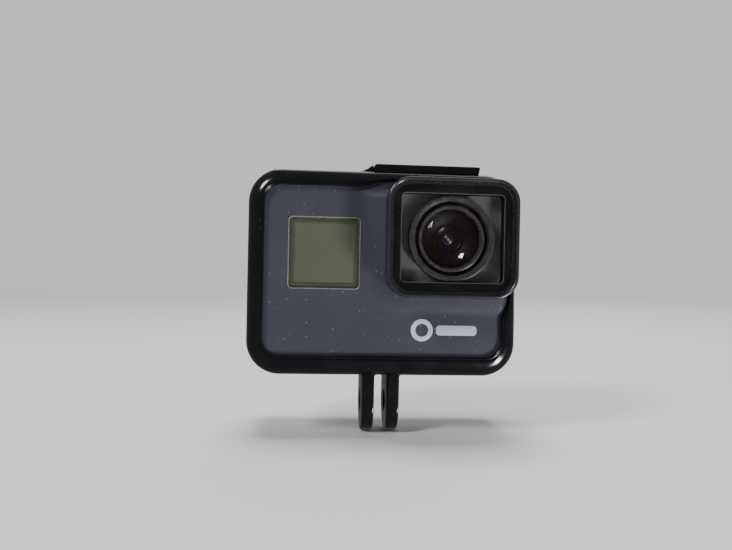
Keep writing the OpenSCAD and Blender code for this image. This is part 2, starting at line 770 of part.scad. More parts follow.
module second_element() color(lens_tint) lens_turn(second_y) {
  rim = 1.2;
  bulge_r = 2 * inner_glass_r;
  rise = bulge_r - sqrt(pow(bulge_r, 2) - pow(inner_glass_r - sit, 2));
  translate([0, rise]) square([inner_glass_r - sit, rim]);
  intersection() {
    translate([0, bulge_r]) circle(bulge_r);
    square([inner_glass_r - sit, rise + rim / 2]);
  }
}

module rear_elements() color(lens_tint) {
  rod_y(lens_x, lens_z, inner_glass_r - sit, third_y, third_y + 1.4);
  rod_y(lens_x, lens_z, inner_glass_r - sit, fourth_y, fourth_y + 1.2);
  rod_y(lens_x, lens_z, waist_bore_r - sit, fifth_y, fifth_y + 1.8);
}

module ir_filter() color([0.5, 0.6, 0.65])
  plate(lens_x, lens_z, filter_side, filter_side, 0.2, holder_y + 0.1, holder_y + 0.5);

module image_sensor() color([0.3, 0.25, 0.4])
  plate(lens_x, lens_z, 8, 7, 0.2, sensor_board_y - 0.9, sensor_board_y);

module sensor_holder() color(shell_black) difference() {
  plate(lens_x, lens_z, 2 * holder_half, 2 * holder_half, 1, holder_y, sensor_board_y);
  plate(lens_x, lens_z, filter_side + 0.2, filter_side + 0.2, 0.3, holder_y - cut, sensor_board_y + cut);
}

module sensor_board() color(board_green)
  plate(lens_x, lens_z, 2 * sensor_board_half, 2 * sensor_board_half, 1,
    sensor_board_y, sensor_board_y + board_t);

// ---------------------------------------------------------------- boards

module main_board() color(board_green) difference() {
  camera_plate(shell_t + 2.2, board_y, board_y + board_t);
  for (x = [-boss_x, boss_x], z = [boss_low_z, boss_high_z])
    rod_y(x, z, screw_r + 0.1, board_y - cut, board_y + board_t + cut);
}

module processor() color([0.15, 0.15, 0.16])
  plate(lens_x, lens_z, chip_side, chip_side, 0.3, board_y - 1, board_y);

module processor_shield() color(bare_metal) difference() {
  plate(lens_x, lens_z, shield_side, shield_side, 0.8, board_y - shield_d, board_y);
  plate(lens_x, lens_z, shield_side - 0.4, shield_side - 0.4, 0.6, board_y - shield_d + 0.2, board_y + cut);
}

module heat_spreader() color(bare_metal)
  plate(lens_x, lens_z, shield_side + 4, shield_side + 2, 0.8,
    board_y - shield_d - sit - spreader_t, board_y - shield_d - sit);

module board_screws() color(bare_metal)
  for (x = [-boss_x, boss_x], z = [boss_low_z, boss_high_z]) difference() {
    union() {
      rod_y(x, z, screw_r, board_y - screw_l, board_y + board_t);
      rod_y(x, z, screw_head_r, board_y + board_t, board_y + board_t + screw_head_t);
    }
    block([x - screw_head_r, board_y + board_t + screw_head_t / 2, z - 0.15],
          [x + screw_head_r, board_y + board_t + screw_head_t + cut, z + 0.15]);
  }

module card_slot() color(bare_metal) difference() {
  block(card_low, card_low + card_slot_size);
  block(card_low + [slot_sheet, slot_sheet, -cut], card_low + card_slot_size - slot_sheet * [1, 1, 1]);
}

module memory_card() color(shell_black)
  block(card_low + [1.5, 0.5, -0.5], card_low + [1.5, 0.5, -0.5] + card_size);

module port_board() color(board_green)
  block([socket_mouth_x - usb_l + 0.2, port_board_y, door_bottom + 0.4],
        [camera_right - shell_t - port_block_t - 0.1, port_board_y + port_board_t, door_top - 1.2]);

// Tubular socket shell, open towards the door, with a contact tongue
module socket(z, w, t) {
  y_mid = port_board_y - t / 2;
  difference() {
    side_plate(socket_mouth_x - usb_l, socket_mouth_x, y_mid, z, t, w, t / 2 - 0.01);
    side_plate(socket_mouth_x - usb_l + 0.6, socket_mouth_x + cut, y_mid, z,
      t - 0.6, w - 0.6, t / 2 - 0.31);
  }
  side_plate(socket_mouth_x - usb_l + 0.3, socket_mouth_x - 0.8, y_mid, z, 0.7, w - 2.4, 0.2);
}

module usb_socket() color(bare_metal) socket(usb_z, usb_w, usb_t);
module video_socket() color(bare_metal) socket(video_z, video_w, video_t);

module antenna() color(gold)
  flat_plate(antenna_x, antenna_y, camera_top - shell_t - 0.5, camera_top - shell_t - sit,
    antenna_l, 4, 0.5);

// ---------------------------------------------------------------- battery

module battery_bay() color(shell_black) difference() {
  flat_plate(bay_x, bay_y, bay_bottom, bay_top, bay_w, bay_depth, 1.2);
  flat_plate(bay_x, bay_y, bay_bottom - cut, bay_top - bay_t,
    bay_w - 2 * bay_t, bay_depth - 2 * bay_t, 0.8);
  flat_plate(bay_x, bay_y, bay_top - cut, bay_top + cut, contact_l - 1.2, contact_w - 1.2, 0.5);
}

module battery() color([0.25, 0.27, 0.3])
  flat_plate(bay_x, bay_y, battery_z, battery_z + battery_h,
    bay_w - 2 * (bay_t + battery_gap), battery_t, 1);

module battery_contacts() color(gold) {
  flat_plate(bay_x, bay_y, bay_top, bay_top + 1.6, contact_l, contact_w, 0.5);
  for (i = [-2:2])
    block([bay_x + contact_pitch * i - 0.35, bay_y - 1.6, battery_z + battery_h],
          [bay_x + contact_pitch * i + 0.35, bay_y + 1.6, bay_top]);
}

module battery_pull_tab() color("white")
  flat_plate(bay_x, bay_y, battery_z - 0.3, battery_z, 8, battery_t - 1, 0.5);

module battery_door() color(shell_black) difference() {
  flat_plate(bay_x, bay_y, camera_bottom, camera_bottom + battery_door_t, bay_w, bay_depth,
    battery_door_corner);
  flat_plate(catch_x + catch_travel / 2, bay_y, camera_bottom - cut, camera_bottom + catch_t + sit,
    catch_l + catch_travel + 0.4, catch_w + 0.2, 0.5);
}

module battery_door_seal() color(seal_red) difference() {
  flat_plate(bay_x, bay_y, camera_bottom + battery_door_t, bay_bottom, bay_w, bay_depth, 1.5);
  flat_plate(bay_x, bay_y, camera_bottom, bay_bottom + cut, bay_w - 2, bay_depth - 2, 0.8);
}

module battery_door_catch() color(soft_grey) difference() {
  flat_plate(catch_x, bay_y, camera_bottom, camera_bottom + catch_t, catch_l, catch_w, 0.5);
  for (i = [-1:1])
    block([catch_x + i - 0.15, bay_y - catch_w, camera_bottom - cut],
          [catch_x + i + 0.15, bay_y + catch_w, camera_bottom + 0.15]);
}

// ---------------------------------------------------------------- rear display, sound

module touch_panel() color([0.1, 0.1, 0.12])
  plate(0, camera_z, panel_w, panel_h, 0.8,
    board_y + board_t + screw_head_t + sit, camera_back - rear_glass_t - sit);

module touch_glass() color([0.03, 0.03, 0.04])
  camera_plate(glass_margin + 0.1, camera_back - rear_glass_t, camera_back);

module speaker() color([0.2, 0.2, 0.2])
  side_plate(0.45 - camera_right + shell_t, 3.6 - camera_right + shell_t, mode_y,
    speaker_z, speaker_w, speaker_w + 1, 0.8);

module speaker_mesh() color(bare_metal)
  side_plate(sit - camera_right + shell_t, 0.35 - camera_right + shell_t, mode_y,
    speaker_z, speaker_w, speaker_w, 0.5);

microphone_places = [[shutter_x - 8, 7], [camera_right - 9, 0.5]];
light_x = shutter_x + 10.5;
light_r = 0.7;
mic_hole_r = 0.4;
slot_pitch = 1.7;
slot_l = 6;
slot_w = 0.8;
slot_low_z = camera_z - 12.9;
speaker_z = slot_low_z + 1.5 * slot_pitch;
speaker_w = 8;

module microphones() color(bare_metal) for (mic = microphone_places)
  translate([mic[0], mic[1], camera_top - shell_t - 1.05]) cylinder(r = 1.7, h = 1);

module status_light() color([0.7, 0.1, 0.1]) translate([light_x, shutter_y, 0]) {
  translate([0, 0, camera_top - shell_t - 0.8]) cylinder(r = light_r + 0.5, h = 0.8);
  translate([0, 0, camera_top - shell_t]) cylinder(r = light_r - 0.02, h = shell_t - 0.05);
}

// ---------------------------------------------------------------- buttons and their switches

module shutter_button() color(soft_grey) difference() {
  union() {
    flat_plate(shutter_x, shutter_y, camera_top - shell_t - sit, camera_top,
      shutter_l, shutter_w, shutter_w / 2 - 0.01);
    flat_plate(shutter_x, shutter_y, camera_top - shell_t - sit - flange_t, camera_top - shell_t - sit,
      shutter_l + 2 * flange_reach, shutter_w + 2 * flange_reach, shutter_w / 2 + flange_reach - 0.01);
  }
  shutter_ring_shape(camera_top - ring_t, camera_top + cut);
}

module shutter_ring_shape(z0, z1) difference() {
  flat_plate(shutter_x, shutter_y, z0, z1, shutter_l - 2 * ring_inset, shutter_w - 2 * ring_inset,
    shutter_w / 2 - ring_inset - 0.01);
  flat_plate(shutter_x, shutter_y, z0 - cut, z1 + cut, shutter_l - 2 * (ring_inset + ring_line),
    shutter_w - 2 * (ring_inset + ring_line), shutter_w / 2 - ring_inset - ring_line - 0.01);
}

module shutter_ring() color([0.7, 0.08, 0.08]) shutter_ring_shape(camera_top - ring_t, camera_top);

module mode_button() color(soft_grey) {
  side_plate(-camera_right, sit - camera_right + shell_t, mode_y, mode_z,
    mode_l, mode_h, mode_h / 2 - 0.01);
  side_plate(sit - camera_right + shell_t, sit - camera_right + shell_t + flange_t, mode_y, mode_z,
    mode_l + 2 * flange_reach, mode_h + 2 * flange_reach, mode_h / 2 + flange_reach - 0.01);
}

module shutter_switch() color(bare_metal) {
  top = camera_top - shell_t - sit - flange_t - switch_gap;
  translate([shutter_x, shutter_y, top - 0.5]) cylinder(r = 0.9, h = 0.5);
  flat_plate(shutter_x, shutter_y, top - 1.7, top - 0.5, 4, 4, 0.4);
  flat_plate(shutter_x, shutter_y, top - 2.3, top - 1.7, 10, 6, 0.6);
}

module mode_switch() color(bare_metal) {
  face = sit - camera_right + shell_t + flange_t + switch_gap;
  rod_x(face, face + 0.5, mode_y, mode_z, 0.9);
  side_plate(face + 0.5, face + 1.7, mode_y, mode_z, 4, 4, 0.4);
  side_plate(face + 1.7, face + 2.3, mode_y, mode_z, 8, 5, 0.6);
}

// ---------------------------------------------------------------- side door

module side_door() color(soft_grey) difference() {
  union() {
    side_plate(door_axis_x - door_t / 2, camera_right, door_y, (door_axis_z + door_top) / 2,
      door_w, door_top - door_axis_z, 0.2);
    block([door_axis_x - door_t / 2, door_y - door_w / 2, door_axis_z],
          [camera_right, door_y + door_w / 2, door_axis_z + cut]);
    rod_y(door_axis_x, door_axis_z, door_t / 2, door_y - door_w / 2, door_y + door_w / 2);
    rod_y(door_axis_x, door_axis_z, door_pin_r,
      door_y - door_w / 2 - door_pin_l, door_y + door_w / 2 + door_pin_l);
  }
  side_plate(camera_right - latch_t - sit, camera_right + cut, door_y, latch_z - latch_travel / 2,
    latch_w + 0.2, latch_l + latch_travel + 0.4, 0.5);
}

module side_door_seal() color(seal_red) difference() {
  seal_z = (door_axis_z + door_top) / 2;
  side_plate(door_axis_x - door_t / 2 - door_seal_t, door_axis_x - door_t / 2, door_y, seal_z,
    door_w - 2 * door_seal_inset, door_h - 2 * door_seal_inset, 0.8);
  side_plate(door_axis_x - door_t, door_axis_x, door_y, seal_z,
    door_w - 2 * (door_seal_inset + door_seal_w), door_h - 2 * (door_seal_inset + door_seal_w), 0.3);
}

module side_door_latch() color(shell_black) difference() {
  side_plate(camera_right - latch_t, camera_right, door_y, latch_z, latch_w, latch_l, 0.5);
  for (i = [-1:1])
    block([camera_right - 0.15, door_y - latch_w, latch_z + i * 0.9 - 0.15],
          [camera_right + cut, door_y + latch_w, latch_z + i * 0.9 + 0.15]);
}

// ---------------------------------------------------------------- lens cover

module cover_frame() color(trim_grey) difference() {
  facing_front(cover_front) translate([lens_x, lens_z, 0])
    soft_slab(cover_w, cover_h, cover_corner, cover_d, 0.7, 0);
  plate(lens_x, lens_z, cover_w - 2 * cover_rim, cover_h - 2 * cover_rim, cover_corner - cover_rim,
    cover_front - cut, seat_y);
  plate(lens_x, lens_z, window_w, window_h, 1, cover_front, housing_front);
  rod_y(lens_x, lens_z, collar_r + lug_reach + 2 * turn_gap, lug_groove_y, lug_groove_y + lug_groove_d);
}

module cover_glass() color([0.3, 0.3, 0.32, 0.4])
  plate(lens_x, lens_z, cover_w - 2 * cover_rim, cover_h - 2 * cover_rim, cover_corner - cover_rim,
    cover_front + glass_recess, seat_y);

frame_shell();
mount_fingers();
latch_pin();
latch_lever();
front_cover();
rear_housing();
housing_seal();
face_badge();
screen_bezel();
screen_window();
status_lcd();
lcd_backlight();
lens_plate();
bayonet_collar();
lens_trim_ring();
lens_barrel();
lens_seal();
lens_spacer();
front_element();
lens_baffle();
second_element();
rear_elements();
ir_filter();
image_sensor();
sensor_holder();
sensor_board();
main_board();
processor();
processor_shield();
heat_spreader();
board_screws();
battery_bay();
battery();
battery_contacts();
battery_pull_tab();
battery_door();
battery_door_seal();
battery_door_catch();
card_slot();
memory_card();
port_board();
usb_socket();
video_socket();
touch_panel();
touch_glass();
speaker();
speaker_mesh();
microphones();
shutter_switch();
mode_switch();
antenna();
status_light();
cover_frame();
cover_glass();
shutter_button();
shutter_ring();
mode_button();
side_door();
side_door_seal();
side_door_latch();
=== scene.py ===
import json
import math

import bmesh
import bpy
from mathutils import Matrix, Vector, geometry


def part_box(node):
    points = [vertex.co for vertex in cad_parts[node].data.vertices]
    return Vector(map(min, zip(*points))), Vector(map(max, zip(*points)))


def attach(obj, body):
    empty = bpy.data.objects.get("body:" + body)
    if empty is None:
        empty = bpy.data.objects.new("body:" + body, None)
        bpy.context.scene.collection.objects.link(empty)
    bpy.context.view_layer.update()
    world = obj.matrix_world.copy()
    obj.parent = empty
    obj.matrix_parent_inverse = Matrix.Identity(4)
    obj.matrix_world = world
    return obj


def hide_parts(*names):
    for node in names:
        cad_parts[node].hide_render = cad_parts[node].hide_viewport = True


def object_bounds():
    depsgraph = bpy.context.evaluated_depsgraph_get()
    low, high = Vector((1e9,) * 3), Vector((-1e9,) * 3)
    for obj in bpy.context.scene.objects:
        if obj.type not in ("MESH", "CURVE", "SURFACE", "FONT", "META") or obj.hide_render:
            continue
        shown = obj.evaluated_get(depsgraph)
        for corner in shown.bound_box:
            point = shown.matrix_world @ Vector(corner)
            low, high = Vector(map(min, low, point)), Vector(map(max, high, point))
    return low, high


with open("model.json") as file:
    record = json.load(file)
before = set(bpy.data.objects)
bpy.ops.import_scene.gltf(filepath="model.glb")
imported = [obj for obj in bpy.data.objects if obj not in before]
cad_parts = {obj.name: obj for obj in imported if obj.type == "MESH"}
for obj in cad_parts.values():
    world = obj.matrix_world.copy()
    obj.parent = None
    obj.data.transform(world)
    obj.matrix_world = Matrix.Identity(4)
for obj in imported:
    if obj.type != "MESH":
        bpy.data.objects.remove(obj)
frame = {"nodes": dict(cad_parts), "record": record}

# Action camera in its surround frame: the visible pieces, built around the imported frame.
# Lengths are in metres; MM turns a millimetre value into metres.
MM = 0.001
cad_low, cad_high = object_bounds()


# ---------------------------------------------------------------- places read from the frame

def middle(node):
    low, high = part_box(node)
    return (low + high) / 2


def span(node):
    low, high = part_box(node)
    return high - low


camera_low, camera_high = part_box("rear_housing")
camera_mid_z = (camera_low.z + camera_high.z) / 2
camera_w = camera_high.x - camera_low.x
camera_h = camera_high.z - camera_low.z
camera_corner = 6 * MM
face_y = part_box("face_badge")[0].y
seam_y = camera_low.y
shell_wall = 1.5 * MM
gap = 0.15 * MM  # clearance between the camera and the frame, and round the lens cover

shell_low, shell_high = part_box("frame_shell")
wall = shell_high.x - camera_high.x - gap
frame_w = shell_high.x - shell_low.x
top_bar = 2.05 * MM
frame_low_z = shell_low.z
frame_high_z = camera_high.z + gap + top_bar
frame_h = frame_high_z - frame_low_z
frame_mid_z = (frame_low_z + frame_high_z) / 2
frame_corner = camera_corner + gap + wall
frame_front = shell_low.y
frame_back = shell_high.y

cover_low, cover_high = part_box("cover_frame")
lens_x = (cover_low.x + cover_high.x) / 2
lens_z = (cover_low.z + cover_high.z) / 2
cover_w = cover_high.x - cover_low.x
cover_h = cover_high.z - cover_low.z
cover_corner = camera_corner - 0.5 * MM  # the camera slides out through the frame
housing_front = cover_high.y + gap
collar_r = span("bayonet_collar").x / 2
glass_r = span("front_element").x / 2
window_h = 2 * (collar_r + gap)
window_stretch = 3.6 * MM
window_w = window_h + window_stretch

screen_mid = middle("screen_window")
screen_side = span("screen_window").x
lever_low, lever_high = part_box("latch_lever")
pin_mid = middle("latch_pin")
pin_r = span("latch_pin").x / 2


# ---------------------------------------------------------------- mesh helpers

def rounded_outline(cx, cz, w, h, r, arc=14, across=56, up=40):
    """Points (x, z) round a rounded rectangle, anticlockwise from the right side's foot."""
    corners = [(1, 1, 0), (-1, 1, 90), (-1, -1, 180), (1, -1, 270)]
    points = []
    for number, (sx, sz, start) in enumerate(corners):
        steps = up if number % 2 == 0 else across
        before = corners[number - 1]
        centre = Vector((cx + sx * (w / 2 - r), cz + sz * (h / 2 - r)))
        last = Vector((cx + before[0] * (w / 2 - r), cz + before[1] * (h / 2 - r)))
        turn = math.radians(start)
        out = Vector((math.cos(turn), math.sin(turn))) * r
        for i in range(steps):
            points.append(last.lerp(centre, i / steps) + out)
        for i in range(arc):
            a = turn + math.radians(90) * i / arc
            points.append(centre + Vector((math.cos(a), math.sin(a))) * r)
    return points


def body_outline(inset):
    """The camera body's outline, shrunk by inset."""
    return rounded_outline(0, camera_mid_z, camera_w - 2 * inset, camera_h - 2 * inset,
                           camera_corner - inset)


def circle(centre, radius, steps):
    """Points (u, v) round a circle."""
    angles = [2 * math.pi * i / steps for i in range(steps)]
    return [(centre[0] + radius * math.cos(a), centre[1] + radius * math.sin(a)) for a in angles]


def at_depth(points, depth, axis="Y"):
    """An outline's points, placed at a depth along an axis."""
    if axis == "X":
        return [Vector((depth, a, b)) for a, b in points]
    if axis == "Y":
        return [Vector((a, depth, b)) for a, b in points]
    return [Vector((a, b, depth)) for a, b in points]


def soften(mesh, sharp=35):
    """Smooth shading that stops at edges sharper than an angle in degrees."""
    mesh.set_sharp_from_angle(angle=math.radians(sharp))
    for face in mesh.polygons:
        face.use_smooth = True


def new_piece(name, mesh, sharp=35):
    soften(mesh, sharp)
    piece = bpy.data.objects.new(name, mesh)
    bpy.context.scene.collection.objects.link(piece)
    return piece


def mesh_from(name, build):
    """A mesh made by build(bm), with its normals turned outwards."""
    bm = bmesh.new()
    build(bm)
    bmesh.ops.remove_doubles(bm, verts=bm.verts, dist=1e-7)
    bmesh.ops.recalc_face_normals(bm, faces=bm.faces)
    mesh = bpy.data.meshes.new(name)
    bm.to_mesh(mesh)
    bm.free()
    return mesh


def join_rings(bm, rings, loop=False, cap_first=False, cap_last=False):
    """Skins rings of equal length with quads; loop joins the last ring to the first."""
    made = [[bm.verts.new(p) for p in ring] for ring in rings]
    pairs = list(zip(made, made[1:]))
    if loop:
        pairs.append((made[-1], made[0]))
    for a, b in pairs:
        for i in range(len(a)):
            j = (i + 1) % len(a)
            bm.faces.new((a[i], a[j], b[j], b[i]))
    if cap_first:
        bm.faces.new(made[0])
    if cap_last:
        bm.faces.new(made[-1])


def loft(name, rings, loop=False, caps=False, sharp=35):
    mesh = mesh_from(name, lambda bm: join_rings(bm, rings, loop, caps, caps))
    return new_piece(name, mesh, sharp)


def turned(name, profile, centre, steps=96, loop=True):
    """Solid of revolution about the lens axis; profile is (radius, y) points."""
    rings = [at_depth(circle(centre, radius, steps), y) for radius, y in profile]
    return loft(name, rings, loop=loop)


def prism(name, outline, low, high, axis="Y", bevel=0.0, segments=3):
    """Outline pushed along an axis, with its edges rounded by bevel."""
    def build(bm):
        near = [bm.verts.new(p) for p in at_depth(outline, low, axis)]
        far = [bm.verts.new(p) for p in at_depth(outline, high, axis)]
        bm.faces.new(near)
        bm.faces.new(far)
        for i in range(len(outline)):
            j = (i + 1) % len(outline)
            bm.faces.new((near[i], near[j], far[j], far[i]))
        bmesh.ops.recalc_face_normals(bm, faces=bm.faces)
        if bevel:
            edges = [e for e in bm.edges if e.calc_face_angle(0) > math.radians(25)]
            bmesh.ops.bevel(bm, geom=edges, offset=bevel, segments=segments, affect="EDGES",
                            profile=0.5, clamp_overlap=True)
    return new_piece(name, mesh_from(name, build))


def baked(piece):
    """The piece with its modifiers turned into plain mesh."""
    graph = bpy.context.evaluated_depsgraph_get()
    mesh = bpy.data.meshes.new_from_object(piece.evaluated_get(graph))
    piece.modifiers.clear()
    piece.data = mesh
    return piece


def carve(piece, *tools, keep="DIFFERENCE"):
    """Takes the tools out of the piece, or keeps only what they share, and drops the tools."""
    for tool in tools:
        cutter = piece.modifiers.new("carve", "BOOLEAN")
        cutter.operation = keep
        cutter.solver = "EXACT"
        cutter.object = tool
    baked(piece)
    for tool in tools:
        bpy.data.objects.remove(tool)
    soften(piece.data)
    return piece


def slab_tool(low, high):
    """A plain block used as a cutter."""
    outline = [(low[0], low[2]), (high[0], low[2]), (high[0], high[2]), (low[0], high[2])]
    return prism("tool", outline, low[1], high[1])


def window_tool(cx, cz, w, h, r, depths, flare, across="X"):
    """Rounded window cutter whose mouth widens by flare at the outer face."""
    inner, face, outer = depths
    mouth = face - flare if face > inner else face + flare
    rings = []
    for depth, grow in ((inner, 0), (mouth, 0), (face, flare), (outer, flare)):
        outline = rounded_outline(cx, cz, w + 2 * grow, h + 2 * grow, r + grow, arc=8, across=2, up=2)
        rings.append(at_depth(outline, depth, across))
    return loft("tool", rings, caps=True)


def rod_tool(centre, radius, low, high, axis="Y", chamfer=0.0, steps=48):
    """Round cutter or rod along an axis; chamfer widens both of its ends."""
    rings = []
    for depth, grow in ((low - chamfer, 2 * chamfer), (low + chamfer, 0),
                        (high - chamfer, 0), (high + chamfer, 2 * chamfer)):
        rings.append(at_depth(circle(centre, radius + grow, steps), depth, axis))
    return loft("tool", rings, caps=True)


def refined(node, width):
    """Copy of a CAD node with merged faces and rounded edges; it replaces the node."""
    source = frame["nodes"][node]
    bm = bmesh.new()
    bm.from_mesh(source.data)
    bmesh.ops.remove_doubles(bm, verts=bm.verts, dist=1e-6)
    bmesh.ops.dissolve_limit(bm, angle_limit=math.radians(0.5), verts=bm.verts, edges=bm.edges)
    edges = [e for e in bm.edges if len(e.link_faces) == 2
             and e.calc_face_angle(0) > math.radians(30)]
    bmesh.ops.bevel(bm, geom=edges, offset=width, segments=2, affect="EDGES", profile=0.5,
                    clamp_overlap=True)
    mesh = bpy.data.meshes.new(node + "_finished")
    bm.to_mesh(mesh)
    bm.free()
    piece = new_piece(node + "_finished", mesh, 40)
    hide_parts(node)
    return piece


def finish_piece(piece, body, material, slot, *nodes):
    """Gives a piece its material and body, and hides the CAD nodes that it stands for. The slot
    argument is not used.
    """
    piece.data.materials.clear()
    piece.data.materials.append(material)
    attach(piece, body)
    if nodes:
        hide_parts(*nodes)
    return piece


# ---------------------------------------------------------------- materials

class Finish:
    """One material's node tree. Its patterns read Object coordinates, in metres."""

    def __init__(self, name, colour, **values):
        self.material = bpy.data.materials.new(name)
        self.material.use_nodes = True
        self.tree = self.material.node_tree
        self.shader = self.tree.nodes["Principled BSDF"]
        self.shader.inputs["Base Color"].default_value = (*colour, 1)
        for socket, value in values.items():
            self.shader.inputs[socket.replace("_", " ")].default_value = value
        self.place = self.tree.nodes.new("ShaderNodeTexCoord").outputs["Object"]
        self.colour = None
        self.flat = (*colour, 1)

    def node(self, kind, **values):
        made = self.tree.nodes.new(kind)
        for name, value in values.items():
            setattr(made, name, value)
        return made

    def join(self, source, target):
        self.tree.links.new(source, target)

    def placed(self, scale=(1, 1, 1), turn=(0, 0, 0)):
        """Object coordinates, turned first and then stretched."""
        turned_place = self.node("ShaderNodeMapping")
        turned_place.inputs["Rotation"].default_value = [math.radians(a) for a in turn]
        self.join(self.place, turned_place.inputs["Vector"])
        stretched = self.node("ShaderNodeMapping")
        stretched.inputs["Scale"].default_value = scale
        self.join(turned_place.outputs["Vector"], stretched.inputs["Vector"])
        return stretched.outputs["Vector"]

    def noise(self, scale, detail=4.0, roughness=0.55, where=None):
        made = self.node("ShaderNodeTexNoise")
        made.inputs["Scale"].default_value = scale
        made.inputs["Detail"].default_value = detail
        made.inputs["Roughness"].default_value = roughness
        self.join(where or self.place, made.inputs["Vector"])
        return made.outputs["Fac"]

    def between(self, value, low, high, to_low=0.0, to_high=1.0):
        """The value's stretch from low to high, spread over to_low to to_high."""
        made = self.node("ShaderNodeMapRange", clamp=True)
        made.inputs["From Min"].default_value = low
        made.inputs["From Max"].default_value = high
        made.inputs["To Min"].default_value = to_low
        made.inputs["To Max"].default_value = to_high
        self.join(value, made.inputs["Value"])
        return made.outputs["Result"]

    def both(self, operation, a, b):
        made = self.node("ShaderNodeMath", operation=operation)
        for value, socket in ((a, made.inputs[0]), (b, made.inputs[1])):
            if isinstance(value, (int, float)):
                socket.default_value = value
            else:
                self.join(value, socket)
        return made.outputs[0]

    def specks(self, spacing, radius, share):
        """Mask of round specks: one cell in each spacing, of which a share holds a speck."""
        made = self.node("ShaderNodeTexVoronoi")
        made.inputs["Scale"].default_value = 1 / spacing
        self.join(self.place, made.inputs["Vector"])
        size = radius / spacing
        dot = self.between(made.outputs["Distance"], size * 0.6, size, 1, 0)
        split = self.node("ShaderNodeSeparateColor")
        self.join(made.outputs["Color"], split.inputs["Color"])
        chosen = self.both("LESS_THAN", split.outputs[0], share)
        return self.both("MULTIPLY", dot, chosen)

    def distance(self, **centre):
        """Distance from the line that two coordinates, such as X and Z, place."""
        split = self.node("ShaderNodeSeparateXYZ")
        self.join(self.place, split.inputs["Vector"])
        squares = []
        for axis, value in centre.items():
            side = self.both("SUBTRACT", split.outputs[axis], value)
            squares.append(self.both("MULTIPLY", side, side))
        return self.both("SQRT", self.both("ADD", *squares), 0)

    def scratches(self, turn, length=6 * MM, width=0.11 * MM, share=0.74):
        """Mask of a few fine scratches that run along one direction, in patches."""
        scale = (1 / length, 1 / length, 1 / width)
        where = self.placed(scale=scale, turn=turn)
        streak = self.noise(1.0, detail=0.0, roughness=0.3, where=where)
        patch = self.between(self.noise(110, 2, where=self.placed(turn=turn)), 0.5, 0.62)
        return self.both("MULTIPLY", self.between(streak, share, share + 0.06), patch)

    def tint(self, mask, colour):
        """Lays a colour over the base where the mask is 1."""
        made = self.node("ShaderNodeMix", data_type="RGBA")
        if self.colour is None:
            made.inputs["A"].default_value = self.flat
        else:
            self.join(self.colour, made.inputs["A"])
        made.inputs["B"].default_value = (*colour, 1)
        self.join(mask, made.inputs["Factor"])
        self.colour = made.outputs["Result"]
        self.join(self.colour, self.shader.inputs["Base Color"])

    def roughness(self, value):
        self.join(value, self.shader.inputs["Roughness"])

    def bump(self, height, distance, strength=1.0):
        made = self.node("ShaderNodeBump")
        made.inputs["Strength"].default_value = strength
        made.inputs["Distance"].default_value = distance
        self.join(height, made.inputs["Height"])
        if self.shader.inputs["Normal"].is_linked:
            self.join(self.shader.inputs["Normal"].links[0].from_socket, made.inputs["Normal"])
        self.join(made.outputs["Normal"], self.shader.inputs["Normal"])


def gloss_frame_finish():
    """Moulded gloss black with light handling wear."""
    f = Finish("gloss_frame", (0.0042, 0.0042, 0.0048))
    cloud = f.noise(160, 5)
    wear = f.noise(900, 3)
    rough = f.between(cloud, 0.35, 0.7, 0.13, 0.22)
    f.roughness(f.both("ADD", rough, f.between(wear, 0.5, 0.75, 0, 0.07)))
    f.tint(f.between(cloud, 0.45, 0.75, 0, 0.5), (0.008, 0.008, 0.009))
    f.tint(f.scratches((0, 35, 0), share=0.8), (0.014, 0.014, 0.015))
    f.tint(f.specks(1.3 * MM, 0.07 * MM, 0.35), (0.3, 0.3, 0.31))
    f.bump(f.noise(5200, 2), 0.01 * MM, 0.3)
    f.bump(f.noise(260, 3), 0.05 * MM, 0.3)
    return f.material


def soft_face_finish():
    """Soft-touch slate grey with dust, faint scuffs and a fine stipple."""
    f = Finish("soft_face", (0.037, 0.0385, 0.053), Sheen_Weight=0.04, Sheen_Roughness=0.4,
               Specular_IOR_Level=0.22)
    cloud = f.noise(70, 5)
    fine = f.noise(1600, 3)
    f.tint(f.between(cloud, 0.35, 0.7, 0, 0.55), (0.046, 0.048, 0.061))
    f.tint(f.between(fine, 0.52, 0.8, 0, 0.3), (0.062, 0.064, 0.076))
    f.tint(f.scratches((0, 28, 0), length=7 * MM, share=0.78), (0.075, 0.076, 0.088))
    f.tint(f.scratches((0, -58, 0), length=5 * MM, share=0.78), (0.07, 0.071, 0.082))
    f.tint(f.specks(1.25 * MM, 0.1 * MM, 0.4), (0.5, 0.5, 0.52))
    f.tint(f.specks(0.8 * MM, 0.06 * MM, 0.4), (0.2, 0.21, 0.23))
    f.roughness(f.between(cloud, 0.3, 0.75, 0.5, 0.62))
    f.bump(f.noise(7200, 2), 0.015 * MM, 0.5)
    return f.material


def housing_finish():
    """Fine-textured black moulding."""
    f = Finish("fine_black", (0.011, 0.011, 0.0125), Specular_IOR_Level=0.25)
    cloud = f.noise(120, 4)
    f.tint(f.between(cloud, 0.4, 0.7, 0, 0.6), (0.016, 0.016, 0.018))
    f.tint(f.specks(2.8 * MM, 0.06 * MM, 0.22), (0.2, 0.2, 0.21))
    f.roughness(f.between(cloud, 0.3, 0.7, 0.38, 0.52))
    f.bump(f.noise(4200, 2), 0.02 * MM, 0.6)
    return f.material


def cover_rim_finish():
    """Satin grey rim of the lens cover, polished a little by handling."""
    f = Finish("cover_rim", (0.026, 0.026, 0.032), Metallic=0.3, Specular_IOR_Level=1.0)
    cloud = f.noise(220, 4)
    f.tint(f.between(f.noise(1500, 2), 0.5, 0.8, 0, 0.35), (0.06, 0.06, 0.067))
    f.tint(f.specks(2.2 * MM, 0.06 * MM, 0.25), (0.4, 0.4, 0.42))
    f.roughness(f.between(cloud, 0.3, 0.7, 0.2, 0.32))
    f.bump(f.noise(5000, 2), 0.008 * MM, 0.25)
    return f.material


